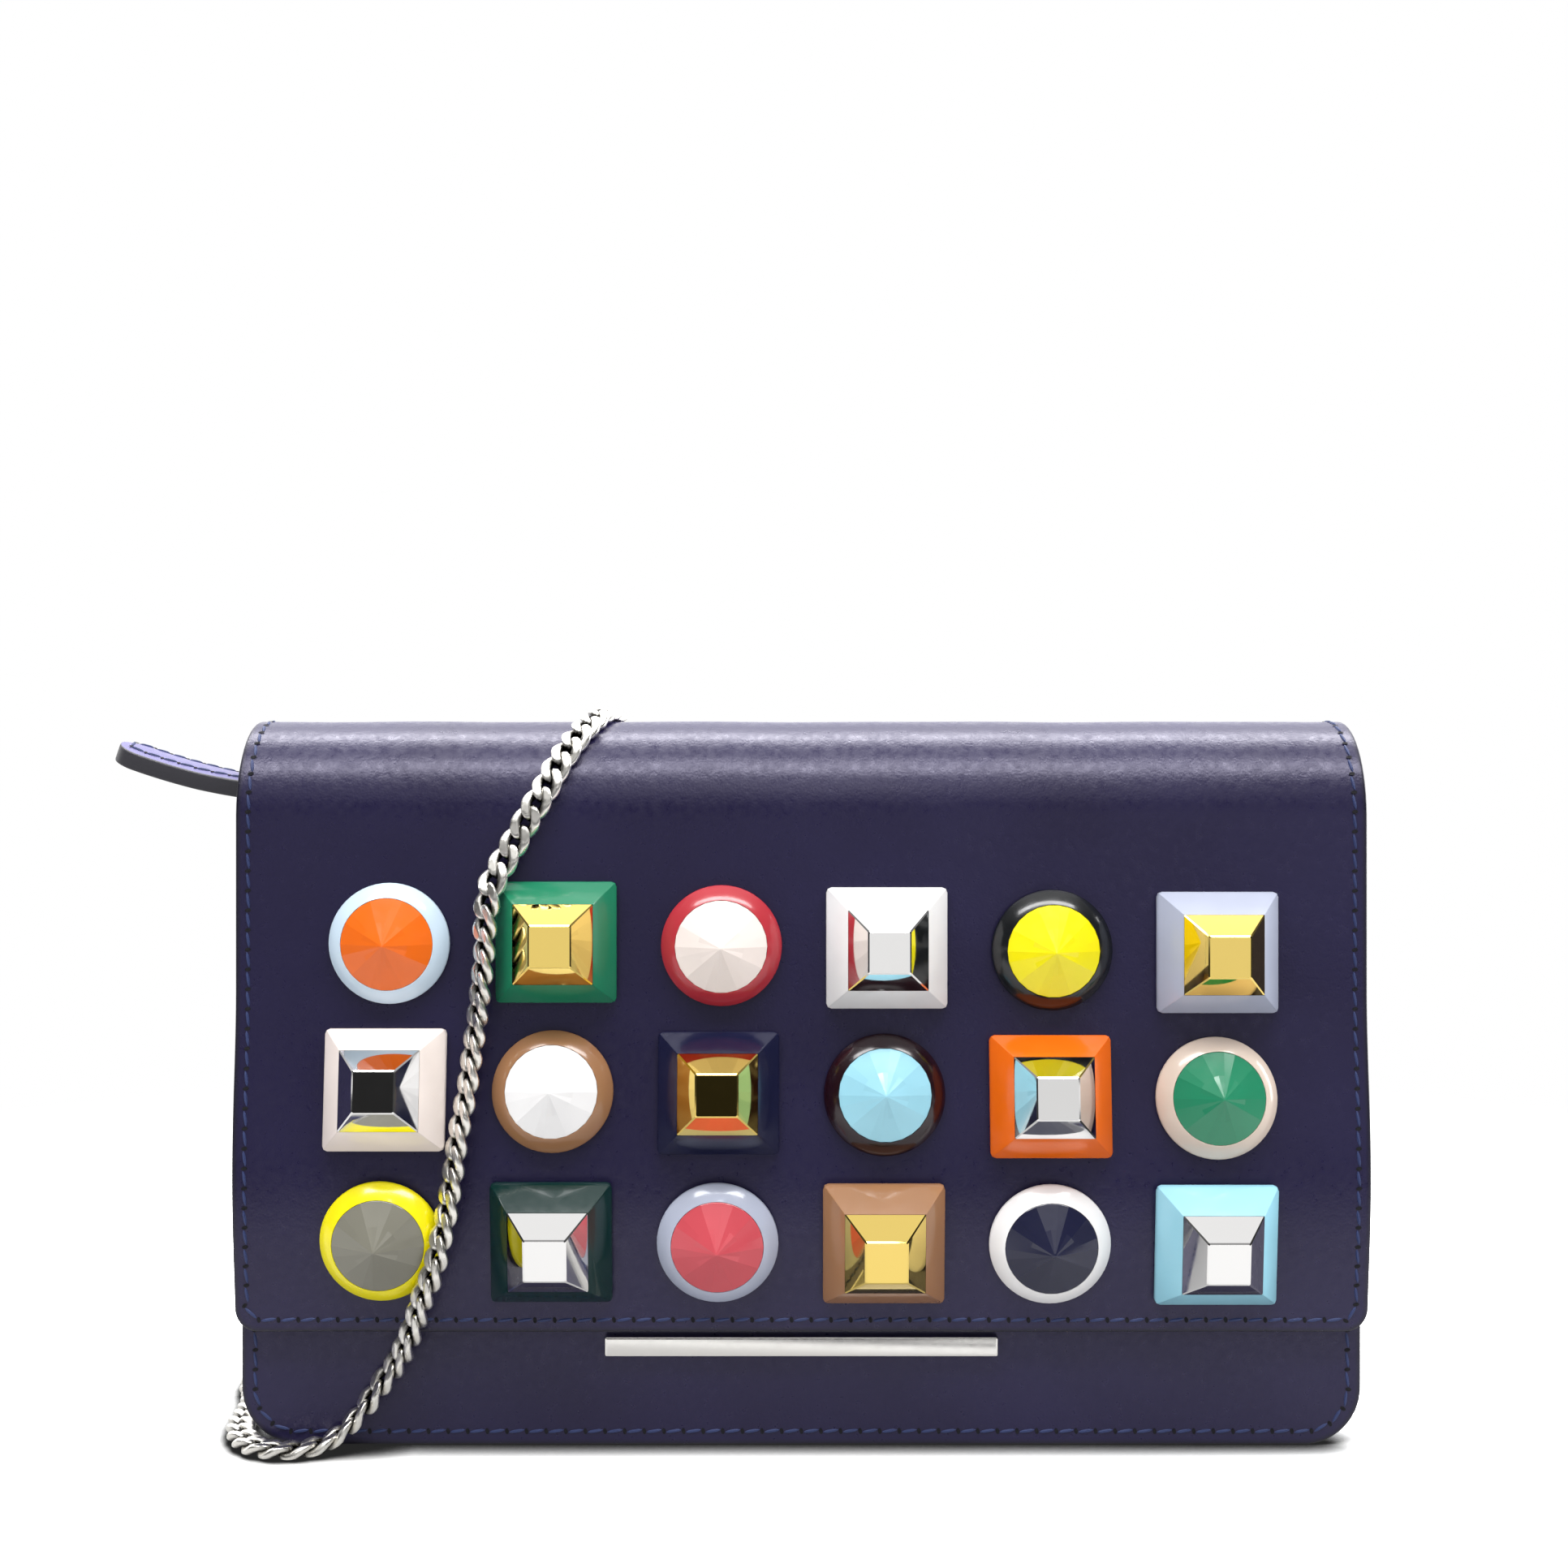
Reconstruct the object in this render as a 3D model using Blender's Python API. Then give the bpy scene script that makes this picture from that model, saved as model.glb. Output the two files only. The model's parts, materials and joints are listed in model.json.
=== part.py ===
"""A leather chain wallet: a bellows wallet with a roll-over flap, 18 fashion studs and a curb chain strap.

Metres, +Z up, +X to the wearer's right as the flap is faced, +Y away from the flap.
The origin is the middle of the back panel's bottom edge, half-way through its thickness.
"""

import math

import bmesh
import bpy
from mathutils import Matrix, Vector

# ---- driving dimensions -------------------------------------------------------------------------
HEIGHT = 0.126  # floor to the crest of the roll
DEPTH = 0.034  # back of the back panel to the front of the flap
FLAP_WIDTH = 0.195  # the one-piece wrap: back panel, roll and flap
FRONT_STEP = 0.0003
FRONT_WIDTH = FLAP_WIDTH - 2 * FRONT_STEP
LEATHER = 0.0022  # two plies, glued
SEAM = 0.0003  # between pieces that lie against each other

BASE_CORNER_R = 0.0100  # bottom corners of both panels
GUSSET_CORNER_R = 0.0140  # the bellows turns more widely inside them
FLAP_CORNER_R = 0.0040
FLAP_EDGE_Z = 0.0204  # lower edge of the flap
MOUTH_DROP = 0.011  # from the roll's centre down to the mouth of the front compartment
ROLL_RADIUS = DEPTH / 2
ROLL_STEPS = 9

BULGE = 0.0024  # the flap swells over what the wallet holds
BULGE_Z = 0.047
BULGE_REACH = 0.033
FLAP_CLEARANCE = 0.0006  # between the flap and the front panel

FLANGE = 0.0067  # the gusset's sewn border, from the panels' edge
FOLD_INSET = 0.0097  # how far in the bellows fold lies
RIDGE_HALF = 0.0070  # half the flat of the fold
FOLD_HALF = 0.0100  # half the width of the fold at its mouth
GUSSET = 0.0012
EDGE_SETBACK = 0.0008  # the gusset's raw edges lie this far inside the panels' edges

POCKET_HALF = 0.0035  # half the clear space in the zip pocket
POCKET_WALL = 0.0010
POCKET_DROP = 0.0025  # from the roll's centre down to the top of the zip pocket
TAPE_HALF = 0.0056
TAPE = 0.0008
TAPE_OVERHANG = 0.0020  # the tape runs this far past the pocket's ends
TEETH_HALF = 0.0023
TEETH = 0.0014
TOOTH_PITCH = 0.0030
TOOTH_DEPTH = 0.0008
TEETH_SETBACK = 0.0015  # from the pocket's ends

SLIDER_LENGTH = 0.0090
SLIDER_HALF = 0.0042
SLIDER_PLATE = 0.0008
SLIDER_END_GAP = 0.0015  # from the end of the teeth, zip closed
EAR_HALF = 0.0031
EAR_LENGTH = 0.0024
PIN_RADIUS = 0.0008
EYE_WALL = 0.0008
EYE_HALF = 0.0016
PULL_LENGTH = 0.0420  # pin to tip
PULL_WIDTH = 0.0090
PULL = 0.0022
PULL_RISE = 0.0073  # the leather curls up by this much at its tip
PULL_ROLL = math.radians(16)  # and rolls forward
PULL_NECK = 0.0040  # length of the narrow neck at the slider

STUD_COLUMNS = 6
STUD_MARGIN = 0.02654  # from the flap's side to the first column
STUD_ROW_DROPS = (0.0222, 0.04733, 0.07258)  # from the roll's centre down to each row
STUD_ROW_SHIFTS = (0.00045, 0.0, -0.00015)  # the rows are set by hand, so each starts a little off
STUD_ROW_SLOPES = (0.0135, 0.0098, 0.0043)  # and falls a little to the right
STUD_SIZE = 0.0208
SQUARE_SIDE = 0.0012  # upright outer side of a square rim
SQUARE_SLOPE = math.radians(53)
SQUARE_SEAT = 0.0136  # the opening that holds the pyramid
PYRAMID_TOP = 0.0070
STUD_CORNER = 0.0006
ROUND_SIDE = 0.0009
ROUND_HEIGHT = 0.0030
ROUND_SEAT = 0.0158  # the opening that holds the cone
CONE_HEIGHT = 0.0068
CONE_TIP = 0.0003
STUD_SEGMENTS = 28

BAR_LENGTH = 0.0680
BAR_HEIGHT = 0.0034
BAR_THICKNESS = 0.0015
BAR_BELOW_FLAP = 0.0012
BAR_BEVEL = 0.0003

MAGNET_Z = 0.0360
MAGNET_RADIUS = 0.0070
MAGNET = 0.0011
MAGNET_LIP = 0.0005  # the socket's rim stands out of the panel by less than this

CARD_WIDTH = 0.0900
CARD_STEPS = 4  # card slots, one above another
CARD_STEP_Z = 0.0120
CARD_DROP = 0.0140  # from the mouth down to the first slot
CARD_FOOT_Z = 0.0120
CARD_PLY = 0.0006

TAB_WIDTH = 0.0080
TAB = 0.0016
TAB_DROP = 0.0005  # from the mouth down to the tab's top
RING_DROP_Z = 0.0080  # from the mouth down to the ring's bar
RING_WIRE = 0.0018
RING_HALF = 0.0056
RING_REACH = 0.0088  # bar to the foot of the bow
RING_FIT = 0.0003  # play of the ring's bar in the tab

CHAIN = 0.0032
HANK_CENTRE = (0.0257, 0.0290)  # the strap's spare length lies behind the wallet in a tied hank
HANK_HALF = 0.0353  # half the length of its sides
HANK_TURN = 0.0140  # radius of its ends
HANK_PINCH = 0.0080  # how far the tie draws its sides in
HANK_WIDE = 0.0102  # two strands side by side
HANK_HIGH = 0.0056
TIE_WIDTH = 0.0040
TIE = 0.0006
TIE_LIFT = 0.0008  # the sides pass over the tie
TIE_REACH = 0.0120
CHAIN_STEP = 0.0075

# ---- places that follow -------------------------------------------------------------------------
BACK_Y = LEATHER / 2  # outer face of the back panel
ROLL_Y = BACK_Y - ROLL_RADIUS
ROLL_Z = HEIGHT - ROLL_RADIUS
MOUTH_Z = ROLL_Z - MOUTH_DROP
POCKET_TOP_Z = ROLL_Z - POCKET_DROP
RING_Z = MOUTH_Z - RING_DROP_Z
TAB_TOP_Z = MOUTH_Z - TAB_DROP
CARD_TOP_Z = MOUTH_Z - CARD_DROP
STUD_PITCH_X = (FLAP_WIDTH - 2 * STUD_MARGIN) / (STUD_COLUMNS - 1)
FLAP_Y = BACK_Y - DEPTH  # outer face of the flap where it doesn't swell
FRONT_Y = FLAP_Y + LEATHER + FLAP_CLEARANCE  # outer face of the front panel
FRONT_INNER_Y = FRONT_Y + LEATHER
BACK_INNER_Y = -LEATHER / 2
MID_Y = (FRONT_INNER_Y + BACK_INNER_Y) / 2
INNER_INSET = FOLD_INSET + GUSSET + SEAM  # from the panels' edge to the pocket's edge
HINGE = (0.0, ROLL_Y, HEIGHT)
TAPE_Z = POCKET_TOP_Z + SEAM
TEETH_Z = TAPE_Z + TAPE + SEAM
PLATE_Z = TEETH_Z + TEETH + SEAM
EYE_BORE = PIN_RADIUS + SEAM
EYE_RADIUS = EYE_BORE + EYE_WALL
PIN_Z = PLATE_Z + SLIDER_PLATE + SEAM + EYE_RADIUS
POCKET_EDGE_X = FRONT_WIDTH / 2 - INNER_INSET
SLIDER_X = -POCKET_EDGE_X + TEETH_SETBACK + SLIDER_END_GAP + SLIDER_LENGTH / 2
PIN_X = SLIDER_X - SLIDER_LENGTH / 2 + EAR_LENGTH / 2
RIDGE_X = FRONT_WIDTH / 2 - FOLD_INSET
TAB_EYE_BORE = RING_WIRE / 2 + RING_FIT
TAB_EYE = TAB_EYE_BORE + TAB * 0.7
RING_X = RIDGE_X + SEAM + TAB_EYE

# The strap's route, in metres: from each ring down to the floor, round the corner and up the front,
# over the roll, down the back and into the hank.
LEFT_ROUTE = (
    (-0.0902, -0.0145, 0.0800),
    (-0.0912, -0.0145, 0.0600),
    (-0.0928, -0.0140, 0.0300),
    (-0.0940, -0.0120, 0.0120),
    (-0.0956, -0.0070, 0.0046),
    (-0.0977, -0.0015, 0.0028),
    (-0.0989, 0.0042, 0.0026),
)
FRONT_ROUTE = (
    (-0.0991, 0.0050, 0.0026),
    (-0.1008, 0.0082, 0.0026),
    (-0.1036, 0.0062, 0.0026),
    (-0.1032, -0.0010, 0.0026),
    (-0.1008, -0.0085, 0.0026),
    (-0.0996, -0.0160, 0.0026),
    (-0.0992, -0.0225, 0.0026),
    (-0.0975, -0.0290, 0.0026),
    (-0.0938, -0.0343, 0.0025),
    (-0.0885, -0.0366, 0.0025),
    (-0.0838, -0.0355, 0.0027),
    (-0.0805, -0.0339, 0.0036),
    (-0.0777, -0.0330, 0.0055),
    (-0.0750, -0.0327, 0.0082),
    (-0.0723, -0.0328, 0.0116),
    (-0.0697, -0.0335, 0.0152),
    (-0.0676, -0.0354, 0.0190),
    (-0.0659, -0.0367, 0.0230),
    (-0.0643, -0.0383, 0.0275),
    (-0.0622, -0.0396, 0.0325),
    (-0.0610, -0.0396, 0.0375),
    (-0.0601, -0.0389, 0.0420),
    (-0.0593, -0.0380, 0.0475),
    (-0.0582, -0.0376, 0.0555),
    (-0.0570, -0.0368, 0.0625),
    (-0.0561, -0.0361, 0.0695),
    (-0.0553, -0.0358, 0.0755),
    (-0.0545, -0.0370, 0.0810),
    (-0.0539, -0.0375, 0.0865),
    (-0.0536, -0.0377, 0.0925),
    (-0.0527, -0.0374, 0.0975),
    (-0.0509, -0.0357, 0.1015),
    (-0.0484, -0.0349, 0.1059),
    (-0.0464, -0.0349, 0.1096),
    (-0.0443, -0.0344, 0.1134),
    (-0.0423, -0.0326, 0.1179),
    (-0.0401, -0.0298, 0.1219),
    (-0.0379, -0.0257, 0.1253),
    (-0.0356, -0.0187, 0.1279),
    (-0.0343, -0.0115, 0.1275),
    (-0.0336, -0.0041, 0.1239),
    (-0.0332, 0.0015, 0.1174),
    (-0.0329, 0.0031, 0.1100),
)
BACK_ROUTE = (
    (-0.0328, 0.0031, 0.1090),
    (-0.0325, 0.0031, 0.0900),
    (-0.0318, 0.0031, 0.0600),
    (-0.0302, 0.0032, 0.0300),
    (-0.0282, 0.0040, 0.0120),
    (-0.0270, 0.0075, 0.0044),
    (-0.0264, 0.0120, 0.0026),
    (-0.0262, 0.0175, 0.0026),
)
RIGHT_ROUTE = (
    (0.0776, 0.0175, 0.0026),
    (0.0782, 0.0128, 0.0026),
    (0.0810, 0.0092, 0.0026),
    (0.0860, 0.0076, 0.0026),
    (0.0922, 0.0070, 0.0026),
    (0.0968, 0.0044, 0.0026),
    (0.0981, -0.0008, 0.0028),
    (0.0966, -0.0062, 0.0044),
    (0.0944, -0.0115, 0.0110),
    (0.0930, -0.0138, 0.0200),
    (0.0924, -0.0143, 0.0350),
    (0.0912, -0.0145, 0.0600),
    (0.0902, -0.0145, 0.0800),
)

# ---- colours ------------------------------------------------------------------------------------
LEATHER_BLUE = ("navy calfskin", "#2b2a4b", 0.42, 0.0)
LINING = ("navy lining", "#23243a", 0.8, 0.0)
SILVER = ("palladium plate", "#d9d9dc", 0.18, 1.0)
GOLD = ("pale gold plate", "#e3c55f", 0.16, 1.0)
ZIP_CLOTH = ("zip tape", "#1e2038", 0.9, 0.0)

ENAMEL = {
    "sky": "#a9d5f2",
    "orange": "#f2601a",
    "green": "#1f8a5b",
    "crimson": "#b3263c",
    "blush": "#f0dbd2",
    "white": "#f1f1f1",
    "black": "#141316",
    "yellow": "#f4ea00",
    "slate": "#9aa0bf",
    "tan": "#9a6b45",
    "navy": "#1c1d3c",
    "oxblood": "#32131b",
    "azure": "#6fc6e6",
    "grey": "#75766f",
    "bottle": "#0f3b36",
    "coral": "#d43a4a",
}

# Each row from the left: (shape, rim, centre).
STUDS = (
    (
        ("round", "sky", "orange"),
        ("square", "green", "gold"),
        ("round", "crimson", "blush"),
        ("square", "white", "silver"),
        ("round", "black", "yellow"),
        ("square", "slate", "gold"),
    ),
    (
        ("square", "blush", "silver"),
        ("round", "tan", "white"),
        ("square", "navy", "gold"),
        ("round", "oxblood", "azure"),
        ("square", "orange", "silver"),
        ("round", "blush", "green"),
    ),
    (
        ("round", "yellow", "grey"),
        ("square", "bottle", "silver"),
        ("round", "slate", "coral"),
        ("square", "tan", "gold"),
        ("round", "white", "navy"),
        ("square", "azure", "silver"),
    ),
)


# ---- small tools --------------------------------------------------------------------------------
def linear(channel):
    """sRGB to linear light."""
    if channel <= 0.04045:
        return channel / 12.92
    return ((channel + 0.055) / 1.055) ** 2.4


def material(look):
    """A Principled material from (name, colour, roughness, metallic), made once."""
    name, colour, roughness, metallic = look
    made = bpy.data.materials.get(name)
    if made:
        return made
    made = bpy.data.materials.new(name)
    made.use_nodes = True
    rgb = [linear(int(colour[i : i + 2], 16) / 255) for i in (1, 3, 5)]
    surface = made.node_tree.nodes["Principled BSDF"]
    surface.inputs["Base Color"].default_value = (*rgb, 1.0)
    surface.inputs["Roughness"].default_value = roughness
    surface.inputs["Metallic"].default_value = metallic
    made.diffuse_color = (*rgb, 1.0)
    return made


def enamel(colour):
    return (f"{colour} enamel", ENAMEL[colour], 0.2, 0.0)


def place(obj, at=(0.0, 0.0, 0.0), turn=None, parent=None):
    """Puts an object at a place in the wallet's frame, keeping it there under its parent."""
    obj.matrix_world = Matrix.Translation(at) @ (turn or Matrix.Identity(4))
    if parent:
        world = obj.matrix_world.copy()
        obj.parent = parent
        obj.matrix_parent_inverse = parent.matrix_world.inverted()
        obj.matrix_world = world
    return obj


def finish(name, shape, look, smooth=None):
    """The object of a bmesh, with its faces pointing out."""
    bmesh.ops.recalc_face_normals(shape, faces=shape.faces)
    mesh = bpy.data.meshes.new(name)
    shape.to_mesh(mesh)
    shape.free()
    mesh.materials.append(material(look))
    if smooth:
        mesh.shade_smooth()
        mesh.set_sharp_from_angle(angle=smooth)
    obj = bpy.data.objects.new(name, mesh)
    bpy.context.scene.collection.objects.link(obj)
    return obj


def loft(name, rings, look, closed=False, smooth=None):
    """A solid skinned over rings of points; its ends are capped unless it closes on itself."""
    shape = bmesh.new()
    loops = [[shape.verts.new(point) for point in ring] for ring in rings]
    count = len(loops[0])
    pairs = list(zip(loops, loops[1:]))
    if closed:
        pairs.append((loops[-1], loops[0]))
    for low, high in pairs:
        for i in range(count):
            j = (i + 1) % count
            shape.faces.new((low[i], low[j], high[j], high[i]))
    if not closed:
        shape.faces.new(loops[0])
        shape.faces.new(loops[-1])
    return finish(name, shape, look, smooth)


def plate(name, outline, y_front, y_back, look):
    """An (x, z) outline given thickness along Y."""
    rings = [[(x, y, z) for x, z in outline] for y in (y_front, y_back)]
    return loft(name, rings, look)


def bar_along_x(name, section, half_length, look):
    """A (y, z) section drawn out along X."""
    rings = [[(x, y, z) for y, z in section] for x in (-half_length, half_length)]
    return loft(name, rings, look)


def arc(centre, radius, start, end, steps):
    """Points on an arc, both ends included; angles in degrees."""
    turns = [math.radians(start + (end - start) * i / steps) for i in range(steps + 1)]
    return [(centre[0] + radius * math.cos(t), centre[1] + radius * math.sin(t)) for t in turns]


def cut(obj, cutter):
    """Takes the cutter out of the object; the cutter stays as a hidden guide."""
    step = obj.modifiers.new("cut", "BOOLEAN")
    step.operation = "DIFFERENCE"
    step.object = cutter
    cutter.hide_render = True
    cutter.display_type = "WIRE"


def disc(name, radius, length, look, segments=32):
    """A short cylinder along Z, from z = 0 up."""
    rings = []
    for z in (0.0, length):
        rings.append([(x, y, z) for x, y in arc((0, 0), radius, 0, 360, segments)[:-1]])
    return loft(name, rings, look, smooth=math.radians(40))


# ---- panels -------------------------------------------------------------------------------------
def base_outline(width, top):
    """A panel's (x, z) outline with round bottom corners."""
    x = width / 2 - BASE_CORNER_R
    left = arc((-x, BASE_CORNER_R), BASE_CORNER_R, 180, 270, 7)
    right = arc((x, BASE_CORNER_R), BASE_CORNER_R, 270, 360, 7)
    return [(-width / 2, top), *left, *right, (width / 2, top)]


def bulge(z):
    """How far the flap swells forward at height z: one smooth wave."""
    off = abs(z - BULGE_Z) / BULGE_REACH
    if off >= 1:
        return 0.0
    return BULGE * (1 + math.cos(math.pi * off)) / 2


def flap_tilt(z):
    """The angle of the flap's face from upright at height z; positive faces up."""
    step = 0.0005
    return math.atan2(bulge(z - step) - bulge(z + step), 2 * step)


def flap_point(z, inset=0.0):
    """(y, z) on the flap's front, inset along its normal into the leather."""
    tilt = flap_tilt(z)
    return (FLAP_Y - bulge(z) + inset * math.cos(tilt), z - inset * math.sin(tilt))


def half_width_above(edge, radius, z):
    """Half the flap's width at height z, where its bottom corners have this radius."""
    above = z - edge
    half = FLAP_WIDTH / 2
    if above >= radius:
        return half
    return half - radius + math.sqrt(max(radius**2 - (radius - above) ** 2, 0.0))


def strip(name, stations, look):
    """A sheet skinned over stations of (half width, outer point, inner point)."""
    rings = []
    for half, (y_out, z_out), (y_in, z_in) in stations:
        left, right = -half, half
        rings.append([(left, y_out, z_out), (right, y_out, z_out), (right, y_in, z_in), (left, y_in, z_in)])
    return loft(name, rings, look, smooth=math.radians(35))


def corner_heights(radius, steps):
    """Heights above a corner's foot at equal steps round it."""
    return [radius * (1 - math.cos(math.pi / 2 * i / steps)) for i in range(1, steps + 1)]


def roll_station(turn):
    """The station on the roll at an angle from the crest; positive is to the front."""
    sine, cosine = math.sin(turn), math.cos(turn)
    points = []
    for radius in (ROLL_RADIUS, ROLL_RADIUS - LEATHER):
        points.append((ROLL_Y - radius * sine, ROLL_Z + radius * cosine))
    return (FLAP_WIDTH / 2, *points)


def build_back_panel():
    """The back of the wrap: a flat panel that turns over into the rear half of the roll."""
    foot = FLAP_WIDTH / 2 - BASE_CORNER_R
    stations = [(foot, (BACK_Y, 0.0), (BACK_INNER_Y, 0.0))]
    for z in corner_heights(BASE_CORNER_R, 7):
        half = half_width_above(0.0, BASE_CORNER_R, z)
        stations.append((half, (BACK_Y, z), (BACK_INNER_Y, z)))
    for i in range(ROLL_STEPS + 1):
        stations.append(roll_station(math.radians(-90 + 90 * i / ROLL_STEPS)))
    return strip("back_panel", stations, LEATHER_BLUE)


def build_flap(hinge):
    """The flap: the roll's front half and the studded face, down to its lower edge."""
    start = SEAM / ROLL_RADIUS
    stations = [roll_station(start + (math.pi / 2 - start) * i / ROLL_STEPS) for i in range(ROLL_STEPS + 1)]
    top = BULGE_Z + BULGE_REACH
    low = FLAP_EDGE_Z + FLAP_CORNER_R
    waves = 12
    heights = [top - (top - low) * i / waves for i in range(waves)]
    heights += [FLAP_EDGE_Z + h for h in reversed(corner_heights(FLAP_CORNER_R, 4))]
    for z in [*heights, FLAP_EDGE_Z]:
        half = half_width_above(FLAP_EDGE_Z, FLAP_CORNER_R, z)
        inner_y = flap_point(z, LEATHER)[0]
        stations.append((half, flap_point(z), (inner_y, z)))
    return place(strip("flap_panel", stations, LEATHER_BLUE), parent=hinge)


def build_front_panel():
    panel = plate("front_panel", base_outline(FRONT_WIDTH, MOUTH_Z), FRONT_Y, FRONT_INNER_Y, LEATHER_BLUE)
    seat = disc("socket_seat", MAGNET_RADIUS + SEAM, 2 * (MAGNET + SEAM), LEATHER_BLUE)
    place(seat, (0.0, FRONT_Y + MAGNET + SEAM, MAGNET_Z), Matrix.Rotation(math.radians(90), 4, "X"))
    cut(panel, seat)
    return panel


def gusset_section():
    """The gusset's (y, inset) section: a flange, a wall, the bellows fold, a wall and a flange."""
    front = FRONT_INNER_Y + SEAM
    back = BACK_INNER_Y - SEAM
    outside = [
        (front + GUSSET, EDGE_SETBACK),
        (front + GUSSET, FLANGE),
        (MID_Y - FOLD_HALF, FLANGE),
        (MID_Y - RIDGE_HALF, FOLD_INSET),
        (MID_Y + RIDGE_HALF, FOLD_INSET),
        (MID_Y + FOLD_HALF, FLANGE),
        (back - GUSSET, FLANGE),
        (back - GUSSET, EDGE_SETBACK),
    ]
    slant = GUSSET * 0.4
    inside = [
        (back, EDGE_SETBACK),
        (back, FLANGE + GUSSET),
        (MID_Y + FOLD_HALF + slant, FLANGE + GUSSET),
        (MID_Y + RIDGE_HALF + slant, FOLD_INSET + GUSSET),
        (MID_Y - RIDGE_HALF - slant, FOLD_INSET + GUSSET),
        (MID_Y - FOLD_HALF - slant, FLANGE + GUSSET),
        (front, FLANGE + GUSSET),
        (front, EDGE_SETBACK),
    ]
    return outside + inside


def build_gusset():
    """One strip with a bellows fold, swept down one side, along the bottom and up the other."""
    section = gusset_section()
    half = FRONT_WIDTH / 2
    rings = []

    def ring(centre_x, centre_z, turn, radius):
        points = []
        for y, inset in section:
            reach = radius - inset
            x = centre_x + reach * math.cos(turn)
            z = centre_z + reach * math.sin(turn)
            points.append((x, y, z))
        return points

    radius = GUSSET_CORNER_R
    corner = half - radius
    rings.append(ring(-corner, MOUTH_Z, math.pi, radius))
    for i in range(7):
        rings.append(ring(-corner, radius, math.radians(180 + 15 * i), radius))
    for i in range(7):
        rings.append(ring(corner, radius, math.radians(270 + 15 * i), radius))
    rings.append(ring(corner, MOUTH_Z, 0.0, radius))
    return loft("gusset", rings, LEATHER_BLUE)


# ---- inside -------------------------------------------------------------------------------------
def pocket_outline():
    radius = GUSSET_CORNER_R - INNER_INSET
    x = POCKET_EDGE_X - radius
    z = INNER_INSET + radius
    left = arc((-x, z), radius, 180, 270, 4)
    right = arc((x, z), radius, 270, 360, 4)
    return [(-POCKET_EDGE_X, POCKET_TOP_Z), *left, *right, (POCKET_EDGE_X, POCKET_TOP_Z)]


def build_zip_pocket():
    """Two walls on the gusset's fold, with the tape over their tops and the teeth on the tape."""
    outer = POCKET_HALF + POCKET_WALL
    plate("zip_pocket_front", pocket_outline(), MID_Y - outer, MID_Y - POCKET_HALF, LINING)
    plate("zip_pocket_back", pocket_outline(), MID_Y + POCKET_HALF, MID_Y + outer, LINING)
    half = POCKET_EDGE_X + TAPE_OVERHANG
    section = [
        (MID_Y - TAPE_HALF, TAPE_Z),
        (MID_Y + TAPE_HALF, TAPE_Z),
        (MID_Y + TAPE_HALF, TAPE_Z + TAPE),
        (MID_Y - TAPE_HALF, TAPE_Z + TAPE),
    ]
    bar_along_x("zip_tape", section, half, ZIP_CLOTH)
    build_zip_teeth()


def build_zip_teeth():
    """Two rows of meshed teeth: a strip whose edges step in and out, one row half a pitch on."""
    length = 2 * (POCKET_EDGE_X - TEETH_SETBACK)
    count = int(length / TOOTH_PITCH)
    start = -count * TOOTH_PITCH / 2
    front, back = [], []
    for i in range(count):
        x = start + i * TOOTH_PITCH
        for share, out in ((0.05, 0.0), (0.20, TOOTH_DEPTH), (0.55, TOOTH_DEPTH), (0.70, 0.0)):
            front.append((x + share * TOOTH_PITCH, MID_Y - TEETH_HALF + TOOTH_DEPTH - out))
            back.append((x + (share + 0.25) * TOOTH_PITCH, MID_Y + TEETH_HALF - TOOTH_DEPTH + out))
    outline = front + back[::-1]
    rings = [[(x, y, z) for x, y in outline] for z in (TEETH_Z, TEETH_Z + TEETH)]
    return loft("zip_teeth", rings, SILVER)


def build_card_pocket():
    """Card slots on the back panel: each ply ends a step lower than the one behind it."""
    back = BACK_INNER_Y - SEAM
    section = [(back, CARD_FOOT_Z), (back, CARD_TOP_Z)]
    for i in range(CARD_STEPS):
        y = back - CARD_PLY * (i + 1)
        foot = CARD_TOP_Z - CARD_STEP_Z * (i + 1) if i < CARD_STEPS - 1 else CARD_FOOT_Z
        section += [(y, CARD_TOP_Z - CARD_STEP_Z * i), (y, foot)]
    return bar_along_x("card_pocket", section, CARD_WIDTH / 2, LINING)


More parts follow.
